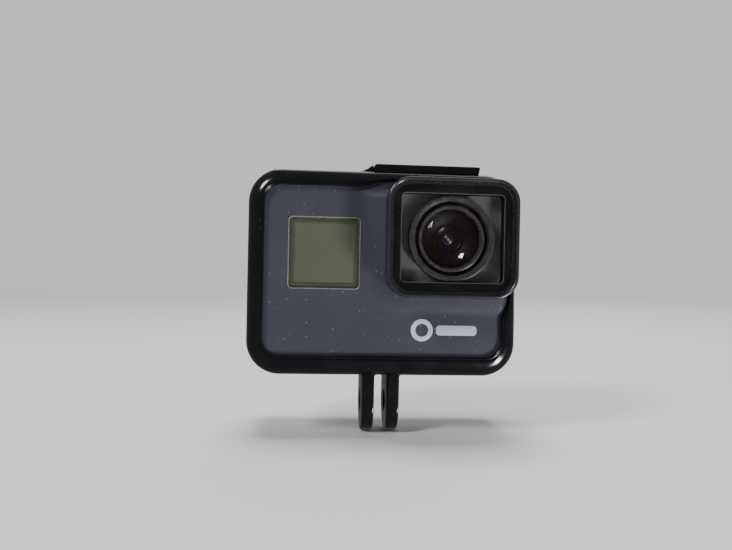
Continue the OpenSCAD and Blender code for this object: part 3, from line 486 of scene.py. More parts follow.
def bezel_finish():
    """Dark printed border behind the cover glass."""
    f = Finish("cover_bezel", (0.0045, 0.0042, 0.0038), Specular_IOR_Level=0.12)
    cloud = f.noise(150, 4)
    f.tint(f.between(cloud, 0.4, 0.75, 0, 0.6), (0.0085, 0.0075, 0.0065))
    f.roughness(f.between(cloud, 0.3, 0.7, 0.4, 0.55))
    f.bump(f.noise(3600, 2), 0.01 * MM, 0.4)
    return f.material


def lens_black_finish(name, colour, rough, grain=0.3):
    """Blackened lens parts with a very fine turned texture."""
    f = Finish(name, colour)
    cloud = f.noise(400, 4)
    f.tint(f.between(cloud, 0.45, 0.75, 0, 0.5), [c * 1.6 for c in colour])
    f.roughness(f.between(cloud, 0.3, 0.7, rough - 0.06, rough + 0.08))
    f.bump(f.noise(5200, 2), 0.008 * MM, grain)
    return f.material


def clear_glass_finish(name, tint, alpha, dust=0.0, film=0.0):
    """Glass seen through its alpha, with dust on its face and a coating if film is set."""
    f = Finish(name, tint, Alpha=alpha, IOR=1.52, Specular_IOR_Level=0.5)
    if film:
        f.shader.inputs["Thin Film Thickness"].default_value = film
        f.shader.inputs["Thin Film IOR"].default_value = 1.38
    f.roughness(f.between(f.noise(300, 4), 0.3, 0.75, 0.004, 0.012))
    if dust:
        f.tint(f.specks(1.3 * MM, 0.08 * MM, dust), (0.6, 0.6, 0.6))
    return f.material


def screen_finish():
    """Olive reflective display, uneven under its window."""
    f = Finish("display_olive", (0.12, 0.127, 0.076))
    cloud = f.noise(60, 3)
    f.tint(f.between(cloud, 0.35, 0.7, 0, 0.7), (0.15, 0.157, 0.093))
    f.tint(f.between(f.noise(9000, 1), 0.4, 0.6, 0, 0.5), (0.138, 0.145, 0.085))
    f.tint(f.specks(1.2 * MM, 0.09 * MM, 0.45), (0.6, 0.6, 0.54))
    f.roughness(f.between(cloud, 0.3, 0.7, 0.3, 0.42))
    f.bump(f.noise(6000, 2), 0.004 * MM, 0.3)
    return f.material


def screen_mask_finish():
    """Dark border printed round the display."""
    f = Finish("display_border", (0.075, 0.08, 0.046))
    cloud = f.noise(200, 3)
    f.tint(f.between(cloud, 0.4, 0.7, 0, 0.6), (0.09, 0.095, 0.055))
    f.roughness(f.between(cloud, 0.3, 0.7, 0.3, 0.45))
    return f.material


def bright_rim_finish():
    """Thin bevel that catches the light round the window."""
    f = Finish("bright_rim", (0.42, 0.42, 0.4), Metallic=0.6)
    wear = f.noise(800, 3)
    f.tint(f.between(wear, 0.45, 0.7, 0, 0.6), (0.2, 0.2, 0.19))
    f.roughness(f.between(wear, 0.3, 0.7, 0.22, 0.4))
    return f.material


def badge_finish():
    """Pale printed badge with slightly worn ink."""
    f = Finish("badge_ink", (0.42, 0.49, 0.54))
    wear = f.noise(1800, 4)
    f.tint(f.between(wear, 0.55, 0.75, 0, 0.45), (0.3, 0.34, 0.38))
    f.roughness(f.between(wear, 0.3, 0.7, 0.4, 0.55))
    f.bump(wear, 0.01 * MM, 0.4)
    return f.material


def rear_glass_finish():
    """Black touch glass; the display's own area is a shade lighter than its border."""
    f = Finish("rear_glass", (0.0035, 0.0035, 0.004), Coat_Weight=1.0, Coat_Roughness=0.02)
    split = f.node("ShaderNodeSeparateXYZ")
    f.join(f.place, split.inputs["Vector"])
    side = f.both("ABSOLUTE", split.outputs["X"], 0)
    rise = f.both("ABSOLUTE", f.both("SUBTRACT", split.outputs["Z"], camera_mid_z), 0)
    half_w, half_h, blur = 23.6 * MM, 14.6 * MM, 0.1 * MM
    inside_x = f.between(side, half_w, half_w + blur, 1, 0)
    inside_z = f.between(rise, half_h, half_h + blur, 1, 0)
    display = f.both("MULTIPLY", inside_x, inside_z)
    f.tint(display, (0.011, 0.0115, 0.013))
    smudge = f.noise(90, 5)
    f.tint(f.specks(3.4 * MM, 0.06 * MM, 0.25), (0.25, 0.25, 0.26))
    f.roughness(f.between(smudge, 0.45, 0.75, 0.05, 0.22))
    return f.material


def rubber_finish():
    """Silicone gasket."""
    f = Finish("gasket", (0.1, 0.025, 0.016))
    cloud = f.noise(500, 3)
    f.roughness(f.between(cloud, 0.3, 0.7, 0.55, 0.7))
    f.tint(f.between(cloud, 0.4, 0.7, 0, 0.5), (0.13, 0.035, 0.022))
    f.bump(cloud, 0.02 * MM, 0.4)
    return f.material


def metal_finish(name, colour, rough):
    """Stamped or turned metal with a fine directional grain."""
    f = Finish(name, colour, Metallic=1.0)
    grain = f.noise(1.0, 3, where=f.placed(scale=(300, 9000, 9000)))
    f.roughness(f.between(grain, 0.3, 0.7, rough - 0.06, rough + 0.1))
    f.tint(f.between(f.noise(500, 3), 0.4, 0.75, 0, 0.4), [c * 0.7 for c in colour])
    f.bump(grain, 0.006 * MM, 0.4)
    return f.material


def red_ring_finish():
    """Coloured ring in the shutter button."""
    f = Finish("record_ring", (0.42, 0.012, 0.01), Coat_Weight=0.4)
    wear = f.noise(1500, 3)
    f.tint(f.between(wear, 0.5, 0.75, 0, 0.5), (0.28, 0.01, 0.01))
    f.roughness(f.between(wear, 0.3, 0.7, 0.3, 0.42))
    return f.material


def board_finish():
    """Solder-masked board with copper lands showing through."""
    f = Finish("circuit_board", (0.008, 0.07, 0.035), Coat_Weight=0.5)
    f.tint(f.specks(1.6 * MM, 0.25 * MM, 0.35), (0.45, 0.32, 0.12))
    f.tint(f.specks(0.9 * MM, 0.12 * MM, 0.25), (0.6, 0.6, 0.62))
    f.roughness(f.between(f.noise(600, 3), 0.3, 0.7, 0.3, 0.5))
    return f.material


def floor_finish():
    """Pale matt floor with a trace of unevenness; it fades out far from the object."""
    f = Finish("pale_floor", (0.72, 0.72, 0.71))
    f.join(f.between(f.distance(X=0, Y=0), 0.3, 1.1, 1, 0), f.shader.inputs["Alpha"])
    cloud = f.noise(6, 4)
    f.tint(f.between(cloud, 0.35, 0.7, 0, 0.4), (0.7, 0.7, 0.695))
    f.roughness(f.between(cloud, 0.3, 0.7, 0.62, 0.74))
    return f.material


gloss_black = gloss_frame_finish()
soft_grey = soft_face_finish()
fine_black = housing_finish()
rim_grey = cover_rim_finish()
bezel_black = bezel_finish()
barrel_black = lens_black_finish("barrel_black", (0.034, 0.03, 0.034), 0.27, 0.08)
throat_black = lens_black_finish("throat_black", (0.012, 0.0035, 0.003), 0.5, 0.0)
plate_grey = lens_black_finish("plate_grey", (0.1, 0.098, 0.104), 0.45)
ring_grey = lens_black_finish("ring_grey", (0.036, 0.032, 0.036), 0.25, 0.08)
line_grey = lens_black_finish("line_grey", (0.07, 0.067, 0.064), 0.3)
rubber = rubber_finish()
steel = metal_finish("bare_steel", (0.5, 0.5, 0.52), 0.3)
gold = metal_finish("plated_contact", (0.7, 0.5, 0.2), 0.28)
board = board_finish()


# ---------------------------------------------------------------- repeated details

def add_input(tree, name, kind, value=None):
    made = tree.interface.new_socket(name, in_out="INPUT", socket_type=kind)
    if value is not None:
        made.default_value = value


def rib_row_tree():
    """Row of round bars, sunk to be ribs: count, step, length, radius, start and turn."""
    tree = bpy.data.node_groups.new("rib_row", "GeometryNodeTree")
    add_input(tree, "Count", "NodeSocketInt", 5)
    add_input(tree, "Step", "NodeSocketVector", (MM, 0, 0))
    add_input(tree, "Length", "NodeSocketFloat", 5 * MM)
    add_input(tree, "Radius", "NodeSocketFloat", 0.3 * MM)
    add_input(tree, "Start", "NodeSocketVector", (0, 0, 0))
    add_input(tree, "Turn", "NodeSocketVector", (math.pi / 2, 0, 0))
    add_input(tree, "Material", "NodeSocketMaterial")
    tree.interface.new_socket("Geometry", in_out="OUTPUT", socket_type="NodeSocketGeometry")
    node, join = tree.nodes.new, tree.links.new
    given = node("NodeGroupInput")
    line = node("GeometryNodeMeshLine")
    join(given.outputs["Count"], line.inputs["Count"])
    join(given.outputs["Start"], line.inputs["Start Location"])
    join(given.outputs["Step"], line.inputs["Offset"])
    bar = node("GeometryNodeMeshCylinder")
    bar.inputs["Vertices"].default_value = 20
    bar.inputs["Side Segments"].default_value = 1
    join(given.outputs["Radius"], bar.inputs["Radius"])
    join(given.outputs["Length"], bar.inputs["Depth"])
    row = node("GeometryNodeInstanceOnPoints")
    join(line.outputs["Mesh"], row.inputs["Points"])
    join(bar.outputs["Mesh"], row.inputs["Instance"])
    join(given.outputs["Turn"], row.inputs["Rotation"])
    end_tree(tree, row.outputs["Instances"], given)
    return tree


def ridge_rings_tree():
    """Concentric ridges: count, first radius, pitch outwards, step in depth and thickness."""
    tree = bpy.data.node_groups.new("ridge_rings", "GeometryNodeTree")
    add_input(tree, "Count", "NodeSocketInt", 4)
    add_input(tree, "First", "NodeSocketFloat", 4 * MM)
    add_input(tree, "Pitch", "NodeSocketFloat", 0.4 * MM)
    add_input(tree, "Depth", "NodeSocketFloat", -0.1 * MM)
    add_input(tree, "Thickness", "NodeSocketFloat", 0.08 * MM)
    add_input(tree, "Centre", "NodeSocketVector", (0, 0, 0))
    add_input(tree, "Material", "NodeSocketMaterial")
    tree.interface.new_socket("Geometry", in_out="OUTPUT", socket_type="NodeSocketGeometry")
    node, join = tree.nodes.new, tree.links.new
    given = node("NodeGroupInput")
    step = node("ShaderNodeCombineXYZ")
    join(given.outputs["Depth"], step.inputs["Y"])
    line = node("GeometryNodeMeshLine")
    join(given.outputs["Count"], line.inputs["Count"])
    join(given.outputs["Centre"], line.inputs["Start Location"])
    join(step.outputs["Vector"], line.inputs["Offset"])
    circle = node("GeometryNodeCurvePrimitiveCircle")
    circle.inputs["Resolution"].default_value = 96
    circle.inputs["Radius"].default_value = 1.0
    grow = node("ShaderNodeMath")
    grow.operation = "MULTIPLY_ADD"
    join(node("GeometryNodeInputIndex").outputs["Index"], grow.inputs[0])
    join(given.outputs["Pitch"], grow.inputs[1])
    join(given.outputs["First"], grow.inputs[2])
    rings = node("GeometryNodeInstanceOnPoints")
    rings.inputs["Rotation"].default_value = (math.pi / 2, 0, 0)
    join(line.outputs["Mesh"], rings.inputs["Points"])
    join(circle.outputs["Curve"], rings.inputs["Instance"])
    join(grow.outputs["Value"], rings.inputs["Scale"])
    real = node("GeometryNodeRealizeInstances")
    join(rings.outputs["Instances"], real.inputs["Geometry"])
    section = node("GeometryNodeCurvePrimitiveCircle")
    section.inputs["Resolution"].default_value = 8
    join(given.outputs["Thickness"], section.inputs["Radius"])
    tube = node("GeometryNodeCurveToMesh")
    join(real.outputs["Geometry"], tube.inputs["Curve"])
    join(section.outputs["Curve"], tube.inputs["Profile Curve"])
    end_tree(tree, tube.outputs["Mesh"], given)
    return tree


def end_tree(tree, geometry_out, given):
    """Makes the instances real, gives them the material and ends the tree."""
    node, join = tree.nodes.new, tree.links.new
    real = node("GeometryNodeRealizeInstances")
    join(geometry_out, real.inputs["Geometry"])
    paint = node("GeometryNodeSetMaterial")
    join(real.outputs["Geometry"], paint.inputs["Geometry"])
    join(given.outputs["Material"], paint.inputs["Material"])
    join(paint.outputs["Geometry"], node("NodeGroupOutput").inputs["Geometry"])


def grown(name, tree, material, **values):
    """Runs a tree with its named inputs and keeps the result as a plain mesh."""
    carrier = bpy.data.objects.new(name, bpy.data.meshes.new(name))
    bpy.context.scene.collection.objects.link(carrier)
    modifier = carrier.modifiers.new("grow", "NODES")
    modifier.node_group = tree
    values["Material"] = material
    for item in tree.interface.items_tree:
        if item.in_out == "INPUT" and item.name in values:
            modifier[item.identifier] = values[item.name]
    baked(carrier)
    for face in carrier.data.polygons:
        face.use_smooth = True
    carrier.data.set_sharp_from_angle(angle=math.radians(50))
    return carrier


rib_row = rib_row_tree()
ridge_rings = ridge_rings_tree()


# ---------------------------------------------------------------- surround frame

lip_reach = 2.1 * MM
edge_r = 4.1 * MM
rear_r = 0.8 * MM
top_fade = (-7.2 * MM, 2.2 * MM)
side_fade = (20.6 * MM, 26.6 * MM)
lug_y = 3.4 * MM
tooth_x = lever_low.x + 1.9 * MM
tooth_half = 4 * MM
dish_mid = lever_low.x + 6.5 * MM
lever_under = frame_high_z + 0.08 * MM
prong_w = 3 * MM
prong_r = 7.5 * MM
bore_r = 2.5 * MM


def smooth_step(value, low, high):
    t = min(max((value - low) / (high - low), 0.0), 1.0)
    return t * t * (3 - 2 * t)


def lip_cut(point):
    """0 where the lip is whole, 1 where it is cut away round the lens."""
    if point.y > camera_high.z - 8 * MM and point.x < camera_high.x - 2 * MM:
        return smooth_step(point.x, *top_fade)
    if point.x > camera_high.x - 6 * MM:
        return smooth_step(point.y, *side_fade)
    return 0.0


def frame_offset(depth):
    return rounded_outline(0, frame_mid_z, frame_w - 2 * depth, frame_h - 2 * depth,
                           frame_corner - depth)


def cavity_offset(shrink):
    """The frame's inner outline, shrunk by a distance towards the lip's edge."""
    return body_outline(shrink - gap)


def front_round_ring(angle, cuts, limit):
    """Ring on the rounded front edge; where the lip is cut the round stops at the wall."""
    whole = frame_offset(edge_r * (1 - math.cos(angle)))
    short_angle = angle * limit / (math.pi / 2)
    short = frame_offset(edge_r * (1 - math.cos(short_angle)))
    ring = []
    for a, b, c in zip(whole, short, cuts):
        flat = a.lerp(b, c)
        y = frame_front + edge_r * (1 - math.sin(angle + (short_angle - angle) * c))
        ring.append(Vector((flat.x, y, flat.y)))
    return ring


def lip_ring(from_edge, y, cut_y, cuts):
    """Ring on the lip, from_edge outside its inner edge; it folds onto the wall where cut."""
    whole = cavity_offset(lip_reach - from_edge)
    folded = cavity_offset(0)
    return [Vector((a.lerp(b, c).x, y + (cut_y - y) * c, a.lerp(b, c).y))
            for a, b, c in zip(whole, folded, cuts)]


def frame_ring(name):
    """The whole surround as one closed ring of rounded section."""
    cuts = [lip_cut(p) for p in frame_offset(0)]
    limit = math.acos(1 - (wall - 0.15 * MM) / edge_r)
    rings = [front_round_ring(math.radians(5 + 7.5 * i), cuts, limit) for i in range(11)]
    wall_front = frame_front + 0.62 * MM
    profile = [(1.25, 0.01, 0.0), (0.92, 0.03, 0.03), (0.8, 0.2, 0.07), (0.66, 0.24, 0.1),
               (0.54, 0.12, 0.14), (0.4, 0.09, 0.17), (0.24, 0.12, 0.2), (0.1, 0.24, 0.24),
               (0.0, 0.46, 0.3), (0.0, 0.9, 0.38)]
    for from_edge, behind, cut_behind in profile:
        rings.append(lip_ring(from_edge * MM, frame_front + behind * MM,
                              wall_front + cut_behind * MM, cuts))
    rings.append(lip_ring(0.1 * MM, face_y - 0.15 * MM, face_y - 0.15 * MM, cuts))
    inner = cavity_offset(0)
    for y in (face_y - 0.1 * MM, face_y + 2 * MM, frame_back - 0.6 * MM):
        rings.append(at_depth(inner, y))
    rings.append(at_depth(cavity_offset(-0.3 * MM), frame_back))
    for angle in (90, 60, 30, 0):
        a = math.radians(angle)
        rings.append(at_depth(frame_offset(rear_r * (1 - math.cos(a))),
                              frame_back - rear_r * (1 - math.sin(a))))
    rings.append(at_depth(frame_offset(0), 2 * MM))
    rings.append(at_depth(frame_offset(0), frame_front + edge_r))
    return loft(name, rings, loop=True, sharp=50)


insert_half = span("mount_fingers").x / 2
insert_back = 7.5 * MM
seam_gap = 0.03 * MM


def insert_block(grow):
    return slab_tool((-insert_half - grow, frame_front - MM, frame_low_z - 0.3 * MM),
                     (insert_half + grow, insert_back + grow, camera_mid_z))


def door_window_tool():
    low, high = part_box("side_door")
    y_mid = (low.y + high.y) / 2
    z_low, z_high = low.z - 1.6 * MM, high.z + 1.3 * MM
    return window_tool(y_mid, (z_low + z_high) / 2, 14.2 * MM, z_high - z_low, 1.5 * MM,
                       (camera_high.x - MM, shell_high.x, shell_high.x + MM), 0.35 * MM)


def key_window_tool():
    mid = middle("mode_button")
    z_high, z_low = mid.z + 5.2 * MM, mid.z - 19 * MM
    return window_tool(mid.y, (z_low + z_high) / 2, 13 * MM, z_high - z_low, 1.5 * MM,
                       (camera_low.x + MM, shell_low.x, shell_low.x - MM), 0.35 * MM)


def shutter_window_tool():
    mid = middle("shutter_button")
    depths = (camera_high.z - MM, frame_high_z, frame_high_z + MM)
    return window_tool(mid.x, mid.y, 14 * MM, 11.5 * MM, 2 * MM, depths, 0.35 * MM, across="Z")


def latch_relief_tools():
    """Room for the lever's heel and tooth, and the frame's split under the lever."""
    heel = rod_tool((pin_mid.x, pin_mid.z), 1.79 * MM, lever_low.y - gap, lever_high.y + gap)
    room = tooth_half + 0.3 * MM
    tooth = slab_tool((tooth_x - MM, -room, lever_low.z - 0.2 * MM),
                      (tooth_x + MM, room, frame_high_z + MM))
    split_x, split_w = tooth_x + 8 * MM, 0.2 * MM
    split = slab_tool((split_x, frame_front - MM, camera_high.z - MM),
                      (split_x + split_w, frame_back + MM, frame_high_z + MM))
    return heel, tooth, split


def build_frame_shell():
    ring = frame_ring("surround_ring")
    carve(ring, insert_block(seam_gap), door_window_tool(), key_window_tool(),
          shutter_window_tool(), *latch_relief_tools())
    finish_piece(ring, "frame", gloss_black, "gloss_shell", "frame_shell")


def concave(start, end, steps=12, sag=0.55):
    """Points of a hollow curve from start to end that leaves start level."""
    points = []
    for i in range(steps + 1):
        t = i / steps
        points.append((start[0] + (end[0] - start[0]) * t,
                       start[1] + (end[1] - start[1]) * (t ** (1 + 2 * sag))))
    return points


def build_latch_ramp():
    """Sloped rise in front of the lever's free end."""
    foot = lever_low.x - 5 * MM
    top = lever_low.x - 0.1 * MM
    base = frame_high_z - 0.6 * MM
    slope = concave((foot, frame_high_z + 0.01 * MM), (top - 0.2 * MM, lever_high.z - 0.22 * MM))
    outline = [(foot, base), *slope, (top, lever_high.z - 0.3 * MM), (top, base)]
    ramp = prism("latch_rise", outline, -6 * MM, 6 * MM, bevel=0.06 * MM, segments=2)
    finish_piece(ramp, "frame", gloss_black, "gloss_shell")


def build_latch_lugs():
    """Two round-topped lugs that hold the hinge pin."""
    lug_r = 1.05 * MM
    foot = frame_high_z - 1.2 * MM
    arc = [math.radians(a) for a in range(15, 180, 15)]
    outline = [(pin_mid.x + lug_r, foot), (pin_mid.x + lug_r, pin_mid.z)]
    outline += [(pin_mid.x + lug_r * math.cos(a), pin_mid.z + lug_r * math.sin(a)) for a in arc]
    outline += [(pin_mid.x - lug_r, pin_mid.z), (pin_mid.x - lug_r, foot)]
    for number, side in enumerate((-1, 1)):
        y = side * lug_y
        lug = prism("latch_lug_%d" % number, outline, y - MM, y + MM, bevel=0.12 * MM, segments=2)
        finish_piece(lug, "frame", gloss_black, "gloss_shell")


def build_latch_lever():
    """Lever with a shallow finger dish and slots for the frame's lugs."""
    x0, x1 = lever_low.x, lever_high.x
    z0, z1 = lever_under, lever_high.z
    outline = [(x0 + 0.15 * MM, z0), (x1 - 0.35 * MM, z0), (x1, z1 - 0.3 * MM),
               (x1 - 0.25 * MM, z1), (x0 + 0.5 * MM, z1), (x0, z1 - 0.5 * MM), (x0, z0 + 0.3 * MM)]
    lever = prism("latch_handle", outline, lever_low.y, lever_high.y, bevel=0.28 * MM)
    slot_half = 1.1 * MM
    slots = [slab_tool((pin_mid.x - 1.8 * MM, side * lug_y - slot_half, z0 - MM),
                       (x1 + MM, side * lug_y + slot_half, z1 + MM)) for side in (-1, 1)]
    dish_r, dish_rise, dish_half = 18 * MM, 17.6 * MM, 5.2 * MM
    dish = rod_tool((dish_mid, z1 + dish_rise), dish_r, -dish_half, dish_half, steps=160)
    bore = rod_tool((pin_mid.x, pin_mid.z), pin_r + 0.05 * MM, -6 * MM, 6 * MM)
    carve(lever, *slots, dish, bore)
    finish_piece(lever, "latch", gloss_black, "gloss_shell", "latch_lever")


def build_latch_tooth():
    """Tooth under the lever that holds the frame's split shut."""
    low_x, high_x = tooth_x - 0.7 * MM, tooth_x + 0.7 * MM
    low_z, high_z = lever_under - MM, lever_under + 0.3 * MM
    outline = [(low_x, low_z), (high_x, low_z), (high_x, high_z), (low_x, high_z)]
    tooth = prism("latch_tooth", outline, -tooth_half, tooth_half, bevel=0.15 * MM)
    finish_piece(tooth, "latch", gloss_black, "gloss_shell")


def build_latch_ribs():
    """Grip ribs across the lever's dish."""
    ribs = grown("latch_grip_ribs", rib_row, gloss_black, Count=4, Step=(1.3 * MM, 0, 0),
                 Length=8.4 * MM, Radius=0.22 * MM,
                 Start=(dish_mid - 1.95 * MM, 0, lever_high.z - 0.36 * MM))
    finish_piece(ribs, "latch", gloss_black, "gloss_shell")


def build_latch_pin():
    low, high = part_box("latch_pin")
    pin = rod_tool((pin_mid.x, pin_mid.z), pin_r, low.y + 0.1 * MM, high.y - 0.1 * MM)
    pin.name = "latch_hinge_pin"
    finish_piece(pin, "frame", steel, "metal_part", "latch_pin")


def prong_outline():
    """Side view of a prong: round end below, square above."""
    root = frame_low_z + 0.6 * MM
    arc = [math.radians(a) for a in range(186, 360, 6)]
    points = [(-prong_r, root), (-prong_r, 0)]
    points += [(prong_r * math.cos(a), prong_r * math.sin(a)) for a in arc]
    return points + [(prong_r, 0), (prong_r, root)]


def root_fillet(name, x, side, radius):
    """Small hollow fillet where a prong's side meets the frame's bottom."""
    sunk, half_depth = frame_low_z + 0.3 * MM, 6.9 * MM
    outline = [(x, sunk), (x + side * radius, sunk)]
    for i in range(7):
        a = math.radians(90 * i / 6)
        outline.append((x + side * radius * (1 - math.sin(a)),
                        frame_low_z - radius * (1 - math.cos(a))))
    piece = prism(name, outline, -half_depth, half_depth)
    finish_piece(piece, "frame", gloss_black, "gloss_shell")


def build_mount_fingers():
    """Insert in the bottom bar, with two prongs and their bore."""
    base = frame_ring("finger_insert")
    carve(base, insert_block(0), keep="INTERSECT")
    finish_piece(base, "frame", gloss_black, "gloss_shell", "mount_fingers")
    gap_half = insert_half - prong_w
    for number, x in enumerate((-insert_half, gap_half)):
        prong = prism("mount_prong_%d" % number, prong_outline(), x, x + prong_w, axis="X",
                      bevel=0.42 * MM, segments=4)
        carve(prong, rod_tool((0, 0), bore_r, x, x + prong_w, axis="X", chamfer=0.3 * MM))
        finish_piece(prong, "frame", gloss_black, "gloss_shell")
    fillets = ((-insert_half, -1), (-gap_half, 1), (gap_half, -1), (insert_half, 1))
    for number, (x, side) in enumerate(fillets):
        root_fillet("prong_root_%d" % number, x, side, 0.75 * MM)


# ---------------------------------------------------------------- camera face

ramp_left = 8.6 * MM
ramp_below = 5.2 * MM
ramp_height = 3.1 * MM
housing_w = cover_w - 0.5 * MM
housing_h = cover_h - 0.5 * MM
housing_corner = cover_corner - 0.25 * MM
face_edge = 0.9 * MM
face_wall = 1.6 * MM
screen_hole = screen_side + 0.6 * MM
screen_hole_r = 1.1 * MM


def away_from_housing(x, z):
    """Distance outside the lens housing in ramp widths: 0 at its wall, 1 where the ramp ends."""
    core_w, core_h = housing_w / 2 - housing_corner, housing_h / 2 - housing_corner
    dx = lens_x - core_w - x
    dz = lens_z - core_h - z
    reach_x = max(dx, 0) / (ramp_left + housing_corner)
    reach_z = max(dz, 0) / (ramp_below + housing_corner)
    inner_x = housing_corner / (ramp_left + housing_corner)
    inner_z = housing_corner / (ramp_below + housing_corner)
    total = math.hypot(reach_x, reach_z)
    if total == 0:
        return 0.0
    inner = total / math.hypot(reach_x / inner_x, reach_z / inner_z)
    return max((total - inner) / (1 - inner), 0.0)


def ramp_rise(x, z):
    """Height of the face above its flat, near the lens housing."""
    t = min(away_from_housing(x, z), 1.0)
    rise = ramp_height * (1 - t) ** 2.3
    near_top = smooth_step(camera_high.z - z, 1.6 * MM, 4.2 * MM)
    near_right = smooth_step(camera_high.x - x, 0.9 * MM, 2.4 * MM)
    return rise * near_top * near_right


def face_points(inset, step):
    """Grid points inside the face, clear of its edges and of the screen's hole."""
    points = []
    x = camera_low.x + inset
    while x < camera_high.x - inset:
        z = camera_low.z + inset
        while z < camera_high.z - inset:
            corner_x = max(abs(x) - (camera_w / 2 - camera_corner), 0)
            corner_z = max(abs(z - camera_mid_z) - (camera_h / 2 - camera_corner), 0)
            inside = math.hypot(corner_x, corner_z) < camera_corner - inset
            off_x = abs(x - screen_mid.x) - screen_side / 2
            off_z = abs(z - screen_mid.z) - screen_side / 2
            if inside and max(off_x, off_z) > 0.9 * MM:
                points.append(Vector((x, z)))
            z += step
        x += step
    return points


def lens_bore_tool():
    """The opening that the lens looks out of, behind its collar."""
    return rod_tool((lens_x, lens_z), collar_r - 1.2 * MM, housing_front - MM, camera_high.y,
                    steps=96)


def screen_opening():
    return rounded_outline(screen_mid.x, screen_mid.z, screen_hole, screen_hole, screen_hole_r,
                           arc=6, across=16, up=16)


def over_screen(point):
    """True over the screen's square hole, whose corners are round."""
    half = screen_hole / 2 - 0.01 * MM
    off_x, off_z = abs(point.x - screen_mid.x), abs(point.y - screen_mid.z)
    dx, dz = off_x - (half - screen_hole_r), off_z - (half - screen_hole_r)
    past_corner = dx > 0 and dz > 0 and math.hypot(dx, dz) > screen_hole_r
    return max(off_x, off_z) < half and not past_corner


def add_face_sheet(bm):
    """The face in fine triangles, from its border to the screen's opening."""
    border, opening = body_outline(face_edge), screen_opening()
    points = border + opening + face_points(face_edge + 0.5 * MM, 0.62 * MM)
    count, more = len(border), len(opening)
    edges = [(i, (i + 1) % count) for i in range(count)]
    edges += [(count + i, count + (i + 1) % more) for i in range(more)]
    scale = 1000.0  # the triangulation works in millimetres
    flat, _, faces, _, _, _ = geometry.delaunay_2d_cdt([p * scale for p in points], edges,
                                                       [], 1, 1e-4)
    made = []
    for p in flat:
        x, z = p.x / scale, p.y / scale
        made.append(bm.verts.new((x, face_y - ramp_rise(x, z), z)))
    for face in faces:
        mid = sum((flat[i] for i in face), Vector((0, 0))) / len(face) / scale
        if not over_screen(mid):
            bm.faces.new([made[i] for i in face])


def face_edge_rings():
    """Rings round the face's rounded edge, down to the seam and back up inside."""
    rings = []
    for angle in (90, 67.5, 45, 22.5, 0):
        a = math.radians(angle)
        rings.append(at_depth(body_outline(face_edge * (1 - math.cos(a))),
                              face_y + face_edge * (1 - math.sin(a))))
    rings.append(at_depth(body_outline(0), seam_y - 0.12 * MM))
    rings.append(at_depth(body_outline(0.2 * MM), seam_y))
    rings.append(at_depth(body_outline(shell_wall), seam_y))
    rings.append(at_depth(body_outline(shell_wall), face_y + face_wall))
    return rings


def build_face():
    """Front cover: flat face that rises to the housing, rounded edge and side skirt."""
    def build(bm):
        add_face_sheet(bm)
        join_rings(bm, face_edge_rings())
        join_rings(bm, [at_depth(screen_opening(), face_y),
                        at_depth(screen_opening(), face_y + face_wall)])
    face = new_piece("face_cover", mesh_from("face_cover", build), 42)
    carve(face, lens_bore_tool())
    finish_piece(face, "camera", soft_grey, "soft_face", "front_cover")


def build_lens_housing():
    """Dark housing that carries the lens plate and meets the cover."""
    rings = []
    for inset, y in ((0, face_y + 1.5 * MM), (0, housing_front + 0.35 * MM),
                     (0.1, housing_front + 0.1 * MM), (0.35, housing_front)):
        rings.append(at_depth(rounded_outline(lens_x, lens_z, housing_w - 2 * inset * MM,
                                              housing_h - 2 * inset * MM,
                                              housing_corner - inset * MM), y))
    plate_w, plate_h = span("lens_plate").x + 0.1 * MM, span("lens_plate").z + 0.1 * MM
    seat = rounded_outline(lens_x, lens_z, plate_w, plate_h, 1.4 * MM)
    rings.append(at_depth(seat, housing_front))
    rings.append(at_depth(seat, housing_front + MM))
    housing = loft("lens_housing", rings, caps=True)
    carve(housing, lens_bore_tool())
    finish_piece(housing, "camera", fine_black, "soft_face")


def build_badge():
    """Plain ring and bar, printed on the face."""
    low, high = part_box("face_badge")
    h = high.z - low.z
    mid_z = (low.z + high.z) / 2
    ring_x = low.x + h / 2
    sunk, y = face_y + 0.1 * MM, face_y - 0.03 * MM
    r_out, r_in = h / 2, h / 2 - 1.1 * MM
    profile = [(r_out, sunk), (r_out, y + 0.01 * MM), (r_out - 0.04 * MM, y),
               (r_in + 0.04 * MM, y), (r_in, y + 0.01 * MM), (r_in, sunk)]
    ring = turned("badge_ring", profile, (ring_x, mid_z), steps=64)
    finish_piece(ring, "camera", badge, "badge_ink", "face_badge")
    bar_left = ring_x + h / 2 + 0.8 * MM
    bar_w, bar_h = high.x - bar_left, h - 3 * MM
    rings = []
    for inset, depth in ((0, sunk), (0, y + 0.01 * MM), (0.04 * MM, y)):
        outline = rounded_outline((bar_left + high.x) / 2, mid_z, bar_w - 2 * inset,
                                  bar_h - 2 * inset, 0.9 * MM, arc=8, across=4, up=4)
        rings.append(at_depth(outline, depth))
    bar = loft("badge_bar", rings, caps=True)
    finish_piece(bar, "camera", badge, "badge_ink")


# ---------------------------------------------------------------- status screen

def screen_rings(name, sizes, loop=True):
    """Square ring or slab at the screen: sizes lists growth, corner radius and depth in mm."""
    rings = []
    for grow, r, depth in sizes:
        side = screen_side + grow * MM
        outline = rounded_outline(screen_mid.x, screen_mid.z, side, side, r * MM, 6, 6, 6)
        rings.append(at_depth(outline, face_y + depth * MM))
    return loft(name, rings, loop=loop, caps=not loop)


